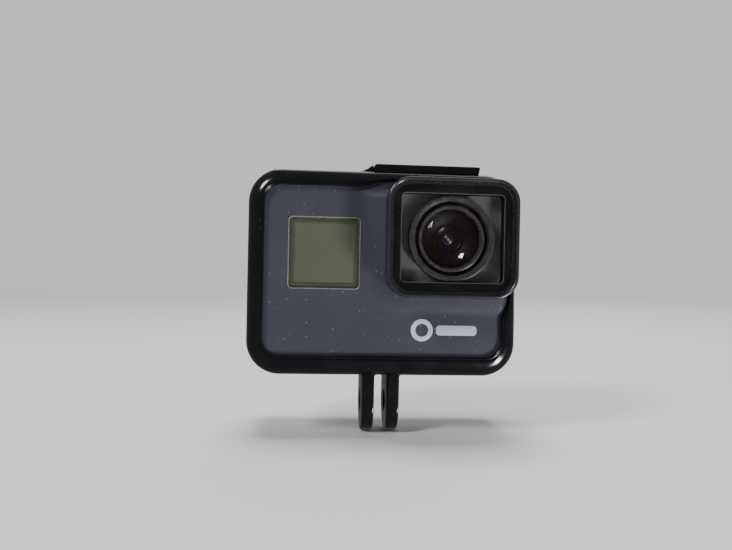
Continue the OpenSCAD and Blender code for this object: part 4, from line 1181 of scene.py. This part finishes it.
def build_screen():
    """Rim, window, printed border and reflective panel, from the front to the back."""
    rim = screen_rings("screen_rim", [(0.56, 1.08, 1.2), (0.56, 1.08, 0.02), (0.44, 1.02, -0.05),
                                      (0.2, 0.9, -0.04), (0, 0.8, 0.2), (0, 0.8, 1.2)])
    finish_piece(rim, "camera", bright_rim_finish(), "screen_rim", "screen_bezel")
    window = screen_rings("screen_glass", [(-0.04, 0.8, 0.55), (-0.04, 0.8, 0.34),
                                           (-0.14, 0.76, 0.3)], loop=False)
    glass = clear_glass_finish("screen_clear", (0.05, 0.055, 0.05), 0.16, dust=0.28)
    finish_piece(window, "camera", glass, "screen_glass", "screen_window")
    border = screen_rings("screen_border", [(-0.04, 0.7, 1.1), (-0.04, 0.7, 0.6), (-2.0, 0.3, 0.62),
                                            (-2.1, 0.3, 0.7), (-2.1, 0.3, 1.1)])
    finish_piece(border, "camera", screen_mask_finish(), "screen_glass")
    panel = screen_rings("screen_panel", [(-1.7, 0.4, 1.25), (-1.7, 0.4, 0.95)], loop=False)
    finish_piece(panel, "camera", screen_finish(), "screen_glass", "status_lcd")


# ---------------------------------------------------------------- lens and its cover

def cover_outline(inset):
    """The lens cover's outline, inset by millimetres."""
    return rounded_outline(lens_x, lens_z, cover_w - 2 * inset * MM, cover_h - 2 * inset * MM,
                           cover_corner - inset * MM)


def window_outline(grow, r):
    """The cover's window, grown by millimetres; r is its corner radius in millimetres."""
    return rounded_outline(lens_x, lens_z, window_w + 2 * grow * MM, window_h + 2 * grow * MM,
                           r * MM)


def from_front(outline, depth):
    """An outline, millimetres behind the cover's front."""
    return at_depth(outline, cover_low.y + depth * MM)


def from_back(outline, depth):
    """An outline, millimetres ahead of the cover's back."""
    return at_depth(outline, cover_high.y - depth * MM)


def build_cover_rim():
    """Satin rim: rounded front edge, the pane's seat and a bevelled back."""
    front = ((0.0, 1.2), (0.0, 0.65), (0.03, 0.42), (0.13, 0.2), (0.3, 0.05), (0.46, 0.0),
             (0.62, 0.02), (0.8, 0.16), (0.93, 0.34), (0.95, 0.5), (0.97, 1.12), (1.6, 1.12))
    rings = [from_front(cover_outline(inset), depth) for inset, depth in front]
    back = ((1.6, 0.3), (0.35, 0), (0.06, 0.12), (0, 0.4))
    rings += [from_back(cover_outline(inset), depth) for inset, depth in back]
    rim = loft("cover_rim", rings, loop=True)
    finish_piece(rim, "lens_cover", rim_grey, "cover_metal", "cover_frame")


def build_cover_bezel():
    """Sloped bezel under the glass, with straight window walls."""
    slope = ((0.35, 1.35, 1.3), (0.1, 1.1, 1.4), (0, 1.0, 1.6))
    rings = [from_front(cover_outline(1.0), 1.14)]
    rings += [from_front(window_outline(grow, r), depth) for grow, r, depth in slope]
    rings += [from_back(window_outline(0, 1.0), 0.05), from_back(cover_outline(1.7), 0.05),
              from_front(cover_outline(1.7), 1.5)]
    bezel = loft("cover_bezel", rings, loop=True)
    finish_piece(bezel, "lens_cover", bezel_black, "cover_metal")


def build_cover_line():
    """Fine line where the bezel meets the window."""
    steps = ((0.2, 1.2, 1.34), (0.04, 1.04, 1.38), (0.02, 1.02, 1.5), (0.2, 1.2, 1.5))
    rings = [from_front(window_outline(grow, r), depth) for grow, r, depth in steps]
    line = loft("cover_line", rings, loop=True)
    finish_piece(line, "lens_cover", line_grey, "cover_metal")


def build_cover_pane():
    """Flat glass with a bevelled front edge."""
    steps = ((0.99, 1.1), (0.99, 0.36), (1.06, 0.3))
    rings = [from_front(cover_outline(inset), depth) for inset, depth in steps]
    pane = loft("cover_pane", rings, caps=True)
    glass = clear_glass_finish("cover_clear", (0.012, 0.012, 0.013), 0.05, dust=0.35)
    finish_piece(pane, "lens_cover", glass, "cover_glass", "cover_glass")


def build_lens_plate():
    """Recessed plate with a stepped edge and a round hole for the collar."""
    low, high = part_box("lens_plate")
    w, h = high.x - low.x, high.z - low.z

    def outline(inset, r):
        return rounded_outline(lens_x, lens_z, w - 2 * inset * MM, h - 2 * inset * MM, r * MM)
    edge = outline(0, 1.3)
    centre = Vector((lens_x, lens_z))
    hole = []
    for p in edge:
        away = Vector((p.x - lens_x, p.y - lens_z)).normalized()
        hole.append(centre + away * (collar_r + 0.05 * MM))
    recess = low.y + 0.1 * MM
    rings = [at_depth(edge, high.y), at_depth(edge, low.y + 0.16 * MM),
             at_depth(outline(0.14, 1.2), low.y), at_depth(outline(0.42, 1.0), low.y),
             at_depth(outline(0.52, 0.95), recess), at_depth(outline(0.7, 0.9), recess),
             at_depth(hole, recess), at_depth(hole, high.y)]
    plate = loft("lens_surround", rings, loop=True)
    finish_piece(plate, "camera", plate_grey, "lens_black", "lens_plate")


def stepped(radius, y, steps):
    """Profile points, each some millimetres off a radius and a depth."""
    return [(radius + out * MM, y + back * MM) for out, back in steps]


def build_lens_rings():
    """Bayonet collar and the trim ring inside it."""
    axis = (lens_x, lens_z)
    low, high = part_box("bayonet_collar")
    bore = collar_r - 1.35 * MM
    profile = [(collar_r, high.y)]
    profile += stepped(collar_r, low.y, ((0, 0.25), (-0.07, 0.07), (-0.25, 0), (-0.62, 0.03),
                                         (-0.7, 0.14)))
    profile += stepped(bore, low.y, ((0.1, 0.32), (0, 0.5)))
    profile.append((bore, high.y))
    collar = turned("lens_collar", profile, axis)
    finish_piece(collar, "camera", barrel_black, "lens_black", "bayonet_collar")
    low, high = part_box("lens_trim_ring")
    r_out = span("lens_trim_ring").x / 2
    profile = [(r_out, high.y)]
    profile += stepped(r_out, low.y, ((0, 0.35), (-0.12, 0.1), (-0.35, 0), (-0.5, 0.02),
                                      (-0.58, 0.14), (-0.8, 0.2)))
    profile += stepped(glass_r, low.y, ((0.12, 0.45), (0.02, 0.8)))
    profile.append((glass_r, high.y))
    trim = turned("lens_trim", profile, axis)
    finish_piece(trim, "camera", ring_grey, "lens_black", "lens_trim_ring")


def dome_profile(radius, sphere_r, rim_y, rim_t):
    """Dome that bulges forward from a rim, as (radius, y) points from apex to the rim's back."""
    rise = sphere_r - math.sqrt(sphere_r ** 2 - radius ** 2)
    points = []
    for i in range(13):
        r = max(radius * i / 12, 0.002 * MM)
        points.append((r, rim_y - rise + sphere_r - math.sqrt(sphere_r ** 2 - r ** 2)))
    return points + [(radius, rim_y + rim_t)]


def build_lens_glass():
    """Front dome, the funnel and its ridges, the inner dome and what shows behind them."""
    axis = (lens_x, lens_z)
    rim_t, inner_t, inner_sphere_r = 1 * MM, 1.2 * MM, 9.4 * MM
    rim_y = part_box("front_element")[1].y - rim_t
    dome = turned("front_dome", dome_profile(glass_r, 1.6 * glass_r, rim_y, rim_t), axis, loop=False)
    coated = clear_glass_finish("coated_front", (0.0045, 0.0013, 0.0011), 0.5)
    finish_piece(dome, "camera", coated, "lens_glass", "front_element")
    baffle_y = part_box("lens_baffle")[1].y
    throat = 3.45 * MM
    profile = [(glass_r - 0.05 * MM, baffle_y), (glass_r - 0.05 * MM, rim_y + 1.1 * MM),
               (glass_r - 0.9 * MM, rim_y + 1.15 * MM), (throat + 0.25 * MM, baffle_y - 0.5 * MM),
               (throat, baffle_y - 0.55 * MM), (throat, baffle_y)]
    baffle = turned("lens_funnel", profile, axis)
    finish_piece(baffle, "camera", throat_black, "lens_black", "lens_baffle", "lens_spacer")
    pitch = (glass_r - 1.3 * MM - throat) / 6
    ridges = grown("funnel_ridges", ridge_rings, throat_black, Count=6, First=throat + 0.45 * MM,
                   Pitch=pitch, Depth=-0.14 * MM, Thickness=0.035 * MM,
                   Centre=(lens_x, baffle_y - 0.66 * MM, lens_z))
    finish_piece(ridges, "camera", throat_black, "lens_black")
    inner_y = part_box("second_element")[1].y - inner_t
    bulge = clear_glass_finish("coated_inner", (0.006, 0.003, 0.004), 0.12)
    profile = dome_profile(span("second_element").x / 2, inner_sphere_r, inner_y, inner_t)
    inner = turned("inner_dome", profile, axis, loop=False)
    finish_piece(inner, "camera", bulge, "lens_glass", "second_element")
    build_pupil(axis, baffle_y)


def painted_glint_finish():
    """Deep element that glows with painted reflections of the lamps: violet rings, a pale centre and
    two yellow marks, all fed into its emission.
    """
    # painted light: the element glows at emission strength 0.5 with the colours painted below
    f = Finish("deep_painted_glints", (0.006, 0.004, 0.008), Roughness=0.06, Emission_Strength=0.5)
    grain = f.both("MULTIPLY", f.noise(2500, 2), 0.05 * MM)
    away = f.both("ADD", f.distance(X=lens_x, Z=lens_z), grain)
    band_w = 0.16 * MM
    # painted reflections: coloured rings and a pale centre dot stand in for the coating's glints
    for radius, colour in ((1.2, (0.1, 0.06, 0.34)), (0.95, (0.09, 0.05, 0.03)),
                           (0.45, (0.2, 0.1, 0.42))):
        near = f.both("ABSOLUTE", f.both("SUBTRACT", away, radius * MM), 0)
        f.tint(f.between(near, 0, band_w, 1, 0), colour)
    f.tint(f.between(away, 0.12 * MM, 0.26 * MM, 1, 0), (0.8, 0.7, 1.0))
    # painted highlights: two yellow spots stand in for the lamps' reflections in the element
    for side, size in ((-1, 0.2), (1, 0.26)):
        painted_spot = f.distance(X=lens_x + side * 0.55 * MM, Z=lens_z - side * 0.6 * MM)
        f.tint(f.between(painted_spot, size * MM, (size + 0.12) * MM, 1, 0), (0.75, 0.62, 0.05))
    # the painted glints become emission, so the element shines though it is no lamp
    f.join(f.colour, f.shader.inputs["Emission Color"])
    return f.material


def build_pupil(axis, y):
    """Iris rings and the small element seen deep in the lens, which glows with painted glints."""
    profile = stepped(0, y, ((3.42, 0.5), (3.42, -0.1), (3.15, -0.14), (3.0, 0), (1.62, 0.2),
                             (1.5, 0.1), (1.42, 0.14), (1.4, 0.5)))
    iris = turned("lens_iris", profile, axis)
    iris_black = lens_black_finish("iris_black", (0.02, 0.014, 0.013), 0.25, 0.0)
    finish_piece(iris, "camera", iris_black, "lens_black")
    profile = dome_profile(1.4 * MM, 1.7 * MM, y + 0.2 * MM, 0.6 * MM)
    deep = turned("deep_element", profile, axis, steps=64)
    finish_piece(deep, "camera", painted_glint_finish(), "lens_glass", "rear_elements")


# ---------------------------------------------------------------- rear, sides, buttons

top_hole = (camera_high.z - 3 * MM, camera_high.z, camera_high.z + MM)
left_hole = (camera_low.x + 3 * MM, camera_low.x, camera_low.x - MM)
port_w = 11.8 * MM


def build_rear_glass():
    """Touch glass with a rounded back edge."""
    low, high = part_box("touch_glass")
    w, h = high.x - low.x, high.z - low.z
    r = camera_corner - 2.1 * MM
    rings = []
    for inset, y in ((0, low.y), (0, high.y - 0.35 * MM), (0.08, high.y - 0.14 * MM),
                     (0.22, high.y - 0.04 * MM), (0.4, high.y)):
        rings.append(at_depth(rounded_outline(0, camera_mid_z, w - 2 * inset * MM, h - 2 * inset * MM,
                                              r - inset * MM), y))
    pane = loft("rear_pane", rings, caps=True)
    finish_piece(pane, "camera", rear_glass_finish(), "rear_glass", "touch_glass")


def build_rear_housing():
    """Rear shell with its rounded back edge, and the holes for glass, keys, ports and battery."""
    back, rear_edge = camera_high.y, 1.5 * MM
    inner, glass_seat = body_outline(shell_wall), body_outline(2 * MM)
    rings = [at_depth(inner, seam_y + 0.01 * MM),
             at_depth(body_outline(0.2 * MM), seam_y + 0.01 * MM),
             at_depth(body_outline(0), seam_y + 0.14 * MM)]
    for angle in (0, 18, 36, 54, 72, 90):
        a = math.radians(angle)
        rings.append(at_depth(body_outline(rear_edge * (1 - math.cos(a))),
                              back - rear_edge * (1 - math.sin(a))))
    rings += [at_depth(glass_seat, back), at_depth(glass_seat, back - MM),
              at_depth(inner, back - 1.01 * MM)]
    shell = loft("rear_shell", rings, loop=True)
    carve(shell, *key_hole_tools(), port_tool(), battery_tool(), *small_hole_tools())
    finish_piece(shell, "camera", fine_black, "housing_shell", "rear_housing")


def key_hole_tools():
    """Holes for the shutter button's cap and the mode button, with round ends."""
    top, side = middle("shutter_button"), middle("mode_button")
    cap_w, cap_d, key_w, key_h = 11.2 * MM, 7.7 * MM, 9.2 * MM, 3.6 * MM
    shutter = window_tool(top.x, top.y, cap_w, cap_d, cap_d / 2 - 0.01 * MM, top_hole, 0.12 * MM,
                          across="Z")
    mode = window_tool(side.y, side.z, key_w, key_h, key_h / 2 - 0.01 * MM, left_hole, 0.12 * MM)
    return shutter, mode


def port_place():
    """Middle (y, z) and height of the opening under the side door."""
    low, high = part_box("side_door")
    return (low.y + high.y) / 2, (low.z + high.z) / 2, high.z - low.z + 0.2 * MM


def port_tool():
    y_mid, z_mid, h = port_place()
    depths = (camera_high.x - 2.9 * MM, camera_high.x, camera_high.x + MM)
    return window_tool(y_mid, z_mid, port_w, h, 0.35 * MM, depths, 0.08 * MM)


def battery_tool():
    low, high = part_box("battery_door")
    return window_tool((low.x + high.x) / 2, (low.y + high.y) / 2, high.x - low.x + 0.24 * MM,
                       high.y - low.y + 0.24 * MM, 1.6 * MM,
                       (camera_low.z + 3 * MM, camera_low.z, camera_low.z - MM), 0.1 * MM, across="Z")


def small_hole_tools():
    """Speaker slots, microphone holes and the status light's hole."""
    side_y = middle("mode_button").y
    first_z, pitch = camera_mid_z - 12.9 * MM, 1.7 * MM
    tools = [window_tool(side_y, first_z + pitch * row, 6 * MM, 0.8 * MM, 0.39 * MM, left_hole,
                         0.1 * MM) for row in range(4)]
    low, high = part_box("microphones")
    light = middle("status_light")
    mic_r = 0.4 * MM
    in_from_box = 1.7 * MM
    for x, y, r in ((low.x + in_from_box, high.y - in_from_box, mic_r),
                    (high.x - in_from_box, low.y + in_from_box, mic_r),
                    (light.x, light.y, 0.7 * MM)):
        tools.append(window_tool(x, y, 2 * r, 2 * r, r * 0.98, top_hole, 0.08 * MM, across="Z"))
    return tools


def build_port_recess():
    """Floor and walls of the recess behind the side door, with its two sockets' mouths."""
    y_mid, z_mid, h = port_place()
    floor_x = camera_high.x - 2.4 * MM
    rings = []
    for grow, x in ((0.5 * MM, floor_x - 0.8 * MM), (0.5 * MM, camera_high.x - 1.55 * MM),
                    (0, camera_high.x - 1.5 * MM), (0, floor_x)):
        outline = rounded_outline(y_mid, z_mid, port_w + 2 * grow, h + 2 * grow, 0.35 * MM + grow,
                                  arc=6, across=2, up=2)
        rings.append(at_depth(outline, x, "X"))
    recess = loft("port_recess", rings, caps=True)
    fit = 0.04 * MM
    tools = []
    for node in ("usb_socket", "video_socket"):
        low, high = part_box(node)
        tools.append(slab_tool((floor_x - 2 * MM, low.y - fit, low.z - fit),
                               (floor_x + MM, high.y + fit, high.z + fit)))
    carve(recess, *tools)
    finish_piece(recess, "camera", fine_black, "housing_shell")


def build_small_parts():
    """CAD pieces whose shape is right: they keep it, with rounded edges and a real finish."""
    finish_piece(refined("side_door", 0.12 * MM), "port_door", soft_grey, "soft_face")
    finish_piece(refined("side_door_latch", 0.06 * MM), "port_door_key", fine_black, "housing_shell")
    finish_piece(refined("battery_door", 0.1 * MM), "camera", fine_black, "housing_shell")
    finish_piece(refined("battery_door_catch", 0.05 * MM), "battery_key", soft_grey, "housing_shell")
    finish_piece(refined("shutter_button", 0.1 * MM), "shutter", soft_grey, "soft_face")
    mode = refined("mode_button", 0.1 * MM)
    mode_low, mode_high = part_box("mode_button")
    clear_of_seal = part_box("housing_seal")[1].y + 0.06 * MM
    carve(mode, slab_tool((mode_low.x - MM, mode_low.y - MM, mode_low.z - MM),
                          (mode_high.x + MM, clear_of_seal, mode_high.z + MM)))
    finish_piece(mode, "mode_key", soft_grey, "soft_face")
    finish_piece(refined("shutter_ring", 0.03 * MM), "shutter", red_ring_finish(), "button_red")


def paint_inner_nodes():
    """Materials for the CAD nodes that stay as they are."""
    finishes = {
        "metal_part": steel, "contact_gold": gold, "board": board, "rubber_seal": rubber,
        "inner_black": fine_black, "lens_black": barrel_black, "housing_shell": fine_black,
        "battery_wrap": lens_black_finish("battery_wrap", (0.05, 0.055, 0.07), 0.4),
        "white_film": lens_black_finish("white_film", (0.4, 0.4, 0.4), 0.5),
        "button_red": red_ring_finish(), "rear_glass": rear_glass_finish(),
        "lens_glass": clear_glass_finish("spare_glass", (0.02, 0.02, 0.03), 0.5, film=300),
        "screen_glass": screen_finish(), "gloss_shell": gloss_black, "soft_face": soft_grey,
    }
    slots = {row["node"]: row["material_slot"] for row in frame["record"]["subparts"]}
    for name, node in frame["nodes"].items():
        material = finishes.get(slots[name])
        if material is None or node.hide_render:
            continue
        for slot in node.material_slots:
            slot.material = material


# ---------------------------------------------------------------- floor, light and camera

def build_stage():
    """Floor under the prongs; it leaves the light from below through."""
    reach = 4.0
    floor_z = cad_low.z
    mesh = bpy.data.meshes.new("floor")
    mesh.from_pydata([(-reach, -reach, floor_z), (reach, -reach, floor_z), (reach, reach, floor_z),
                      (-reach, reach, floor_z)], [], [(0, 1, 2, 3)])
    floor = bpy.data.objects.new("floor", mesh)
    floor.visible_shadow = False
    floor.visible_glossy = False
    bpy.context.scene.collection.objects.link(floor)
    mesh.materials.append(floor_finish())


def soft_light(name, place, aim, size, power, shape=(1, 1)):
    """Area light; shape stretches its width and height."""
    data = bpy.data.lights.new(name, "AREA")
    data.shape = "RECTANGLE"
    data.size = size * shape[0]
    data.size_y = size * shape[1]
    data.energy = power
    lamp = bpy.data.objects.new(name, data)
    lamp.location = place
    lamp.rotation_euler = (Vector(aim) - Vector(place)).to_track_quat("-Z", "Y").to_euler()
    lamp.visible_camera = False
    bpy.context.scene.collection.objects.link(lamp)
    return lamp


def pale_room():
    """Pale seen directly, dim in reflections, so that gloss black stays black."""
    world = bpy.data.worlds.new("studio")
    world.use_nodes = True
    tree = world.node_tree
    seen = tree.nodes["Background"]
    seen.inputs["Color"].default_value = (0.8, 0.8, 0.8, 1)
    seen.inputs["Strength"].default_value = 0.9
    dim = tree.nodes.new("ShaderNodeBackground")
    dim.inputs["Color"].default_value = (0.9, 0.93, 1.0, 1)
    dim.inputs["Strength"].default_value = 0.16
    ray = tree.nodes.new("ShaderNodeLightPath")
    mix = tree.nodes.new("ShaderNodeMixShader")
    tree.links.new(ray.outputs["Is Camera Ray"], mix.inputs["Fac"])
    tree.links.new(dim.outputs["Background"], mix.inputs[1])
    tree.links.new(seen.outputs["Background"], mix.inputs[2])
    tree.links.new(mix.outputs["Shader"], tree.nodes["World Output"].inputs["Surface"])
    bpy.context.scene.world = world


def build_lights():
    """Two softboxes face each other across the lens; the rest fills in."""
    dome_centre = Vector((lens_x, -5.58 * MM, lens_z))
    upper_left = Vector((-0.636, -0.490, 0.596))
    lower_right = Vector((0.577, -0.583, -0.572))
    soft_light("upper_softbox", dome_centre + 0.8 * upper_left, dome_centre, 0.17, 4.3, (0.85, 1.35))
    soft_light("lower_softbox", dome_centre + 0.4 * lower_right, dome_centre, 0.072, 1.7, (1.0, 1.1))
    overhead = soft_light("overhead", (-0.05, 0.1, 1.3), (0, 0, 0), 0.5, 15)
    overhead.visible_glossy = False
    soft_light("rear_fill", (0.35, 0.7, 0.45), (0.0, 0.0, 0.03), 1.1, 4.5)
    pale_room()


def build_camera():
    data = bpy.data.cameras.new("view")
    data.lens = 31.5
    data.sensor_width = 36
    data.clip_start = 0.01
    data.clip_end = 50
    eye = bpy.data.objects.new("view", data)
    eye.location = (-16.3 * MM, -164.0 * MM, 32.8 * MM)
    eye.rotation_euler = [math.radians(a) for a in (89.714, -1.225, -4.406)]
    bpy.context.scene.collection.objects.link(eye)
    bpy.context.scene.camera = eye


badge = badge_finish()
build_camera()
build_stage()
build_lights()
build_frame_shell()
build_latch_ramp()
build_latch_lugs()
build_latch_lever()
build_latch_tooth()
build_latch_ribs()
build_latch_pin()
build_mount_fingers()
build_face()
build_lens_housing()
build_badge()
build_screen()
build_cover_rim()
build_cover_bezel()
build_cover_line()
build_cover_pane()
build_lens_plate()
build_lens_rings()
build_lens_glass()
build_rear_glass()
build_rear_housing()
build_port_recess()
build_small_parts()
paint_inner_nodes()
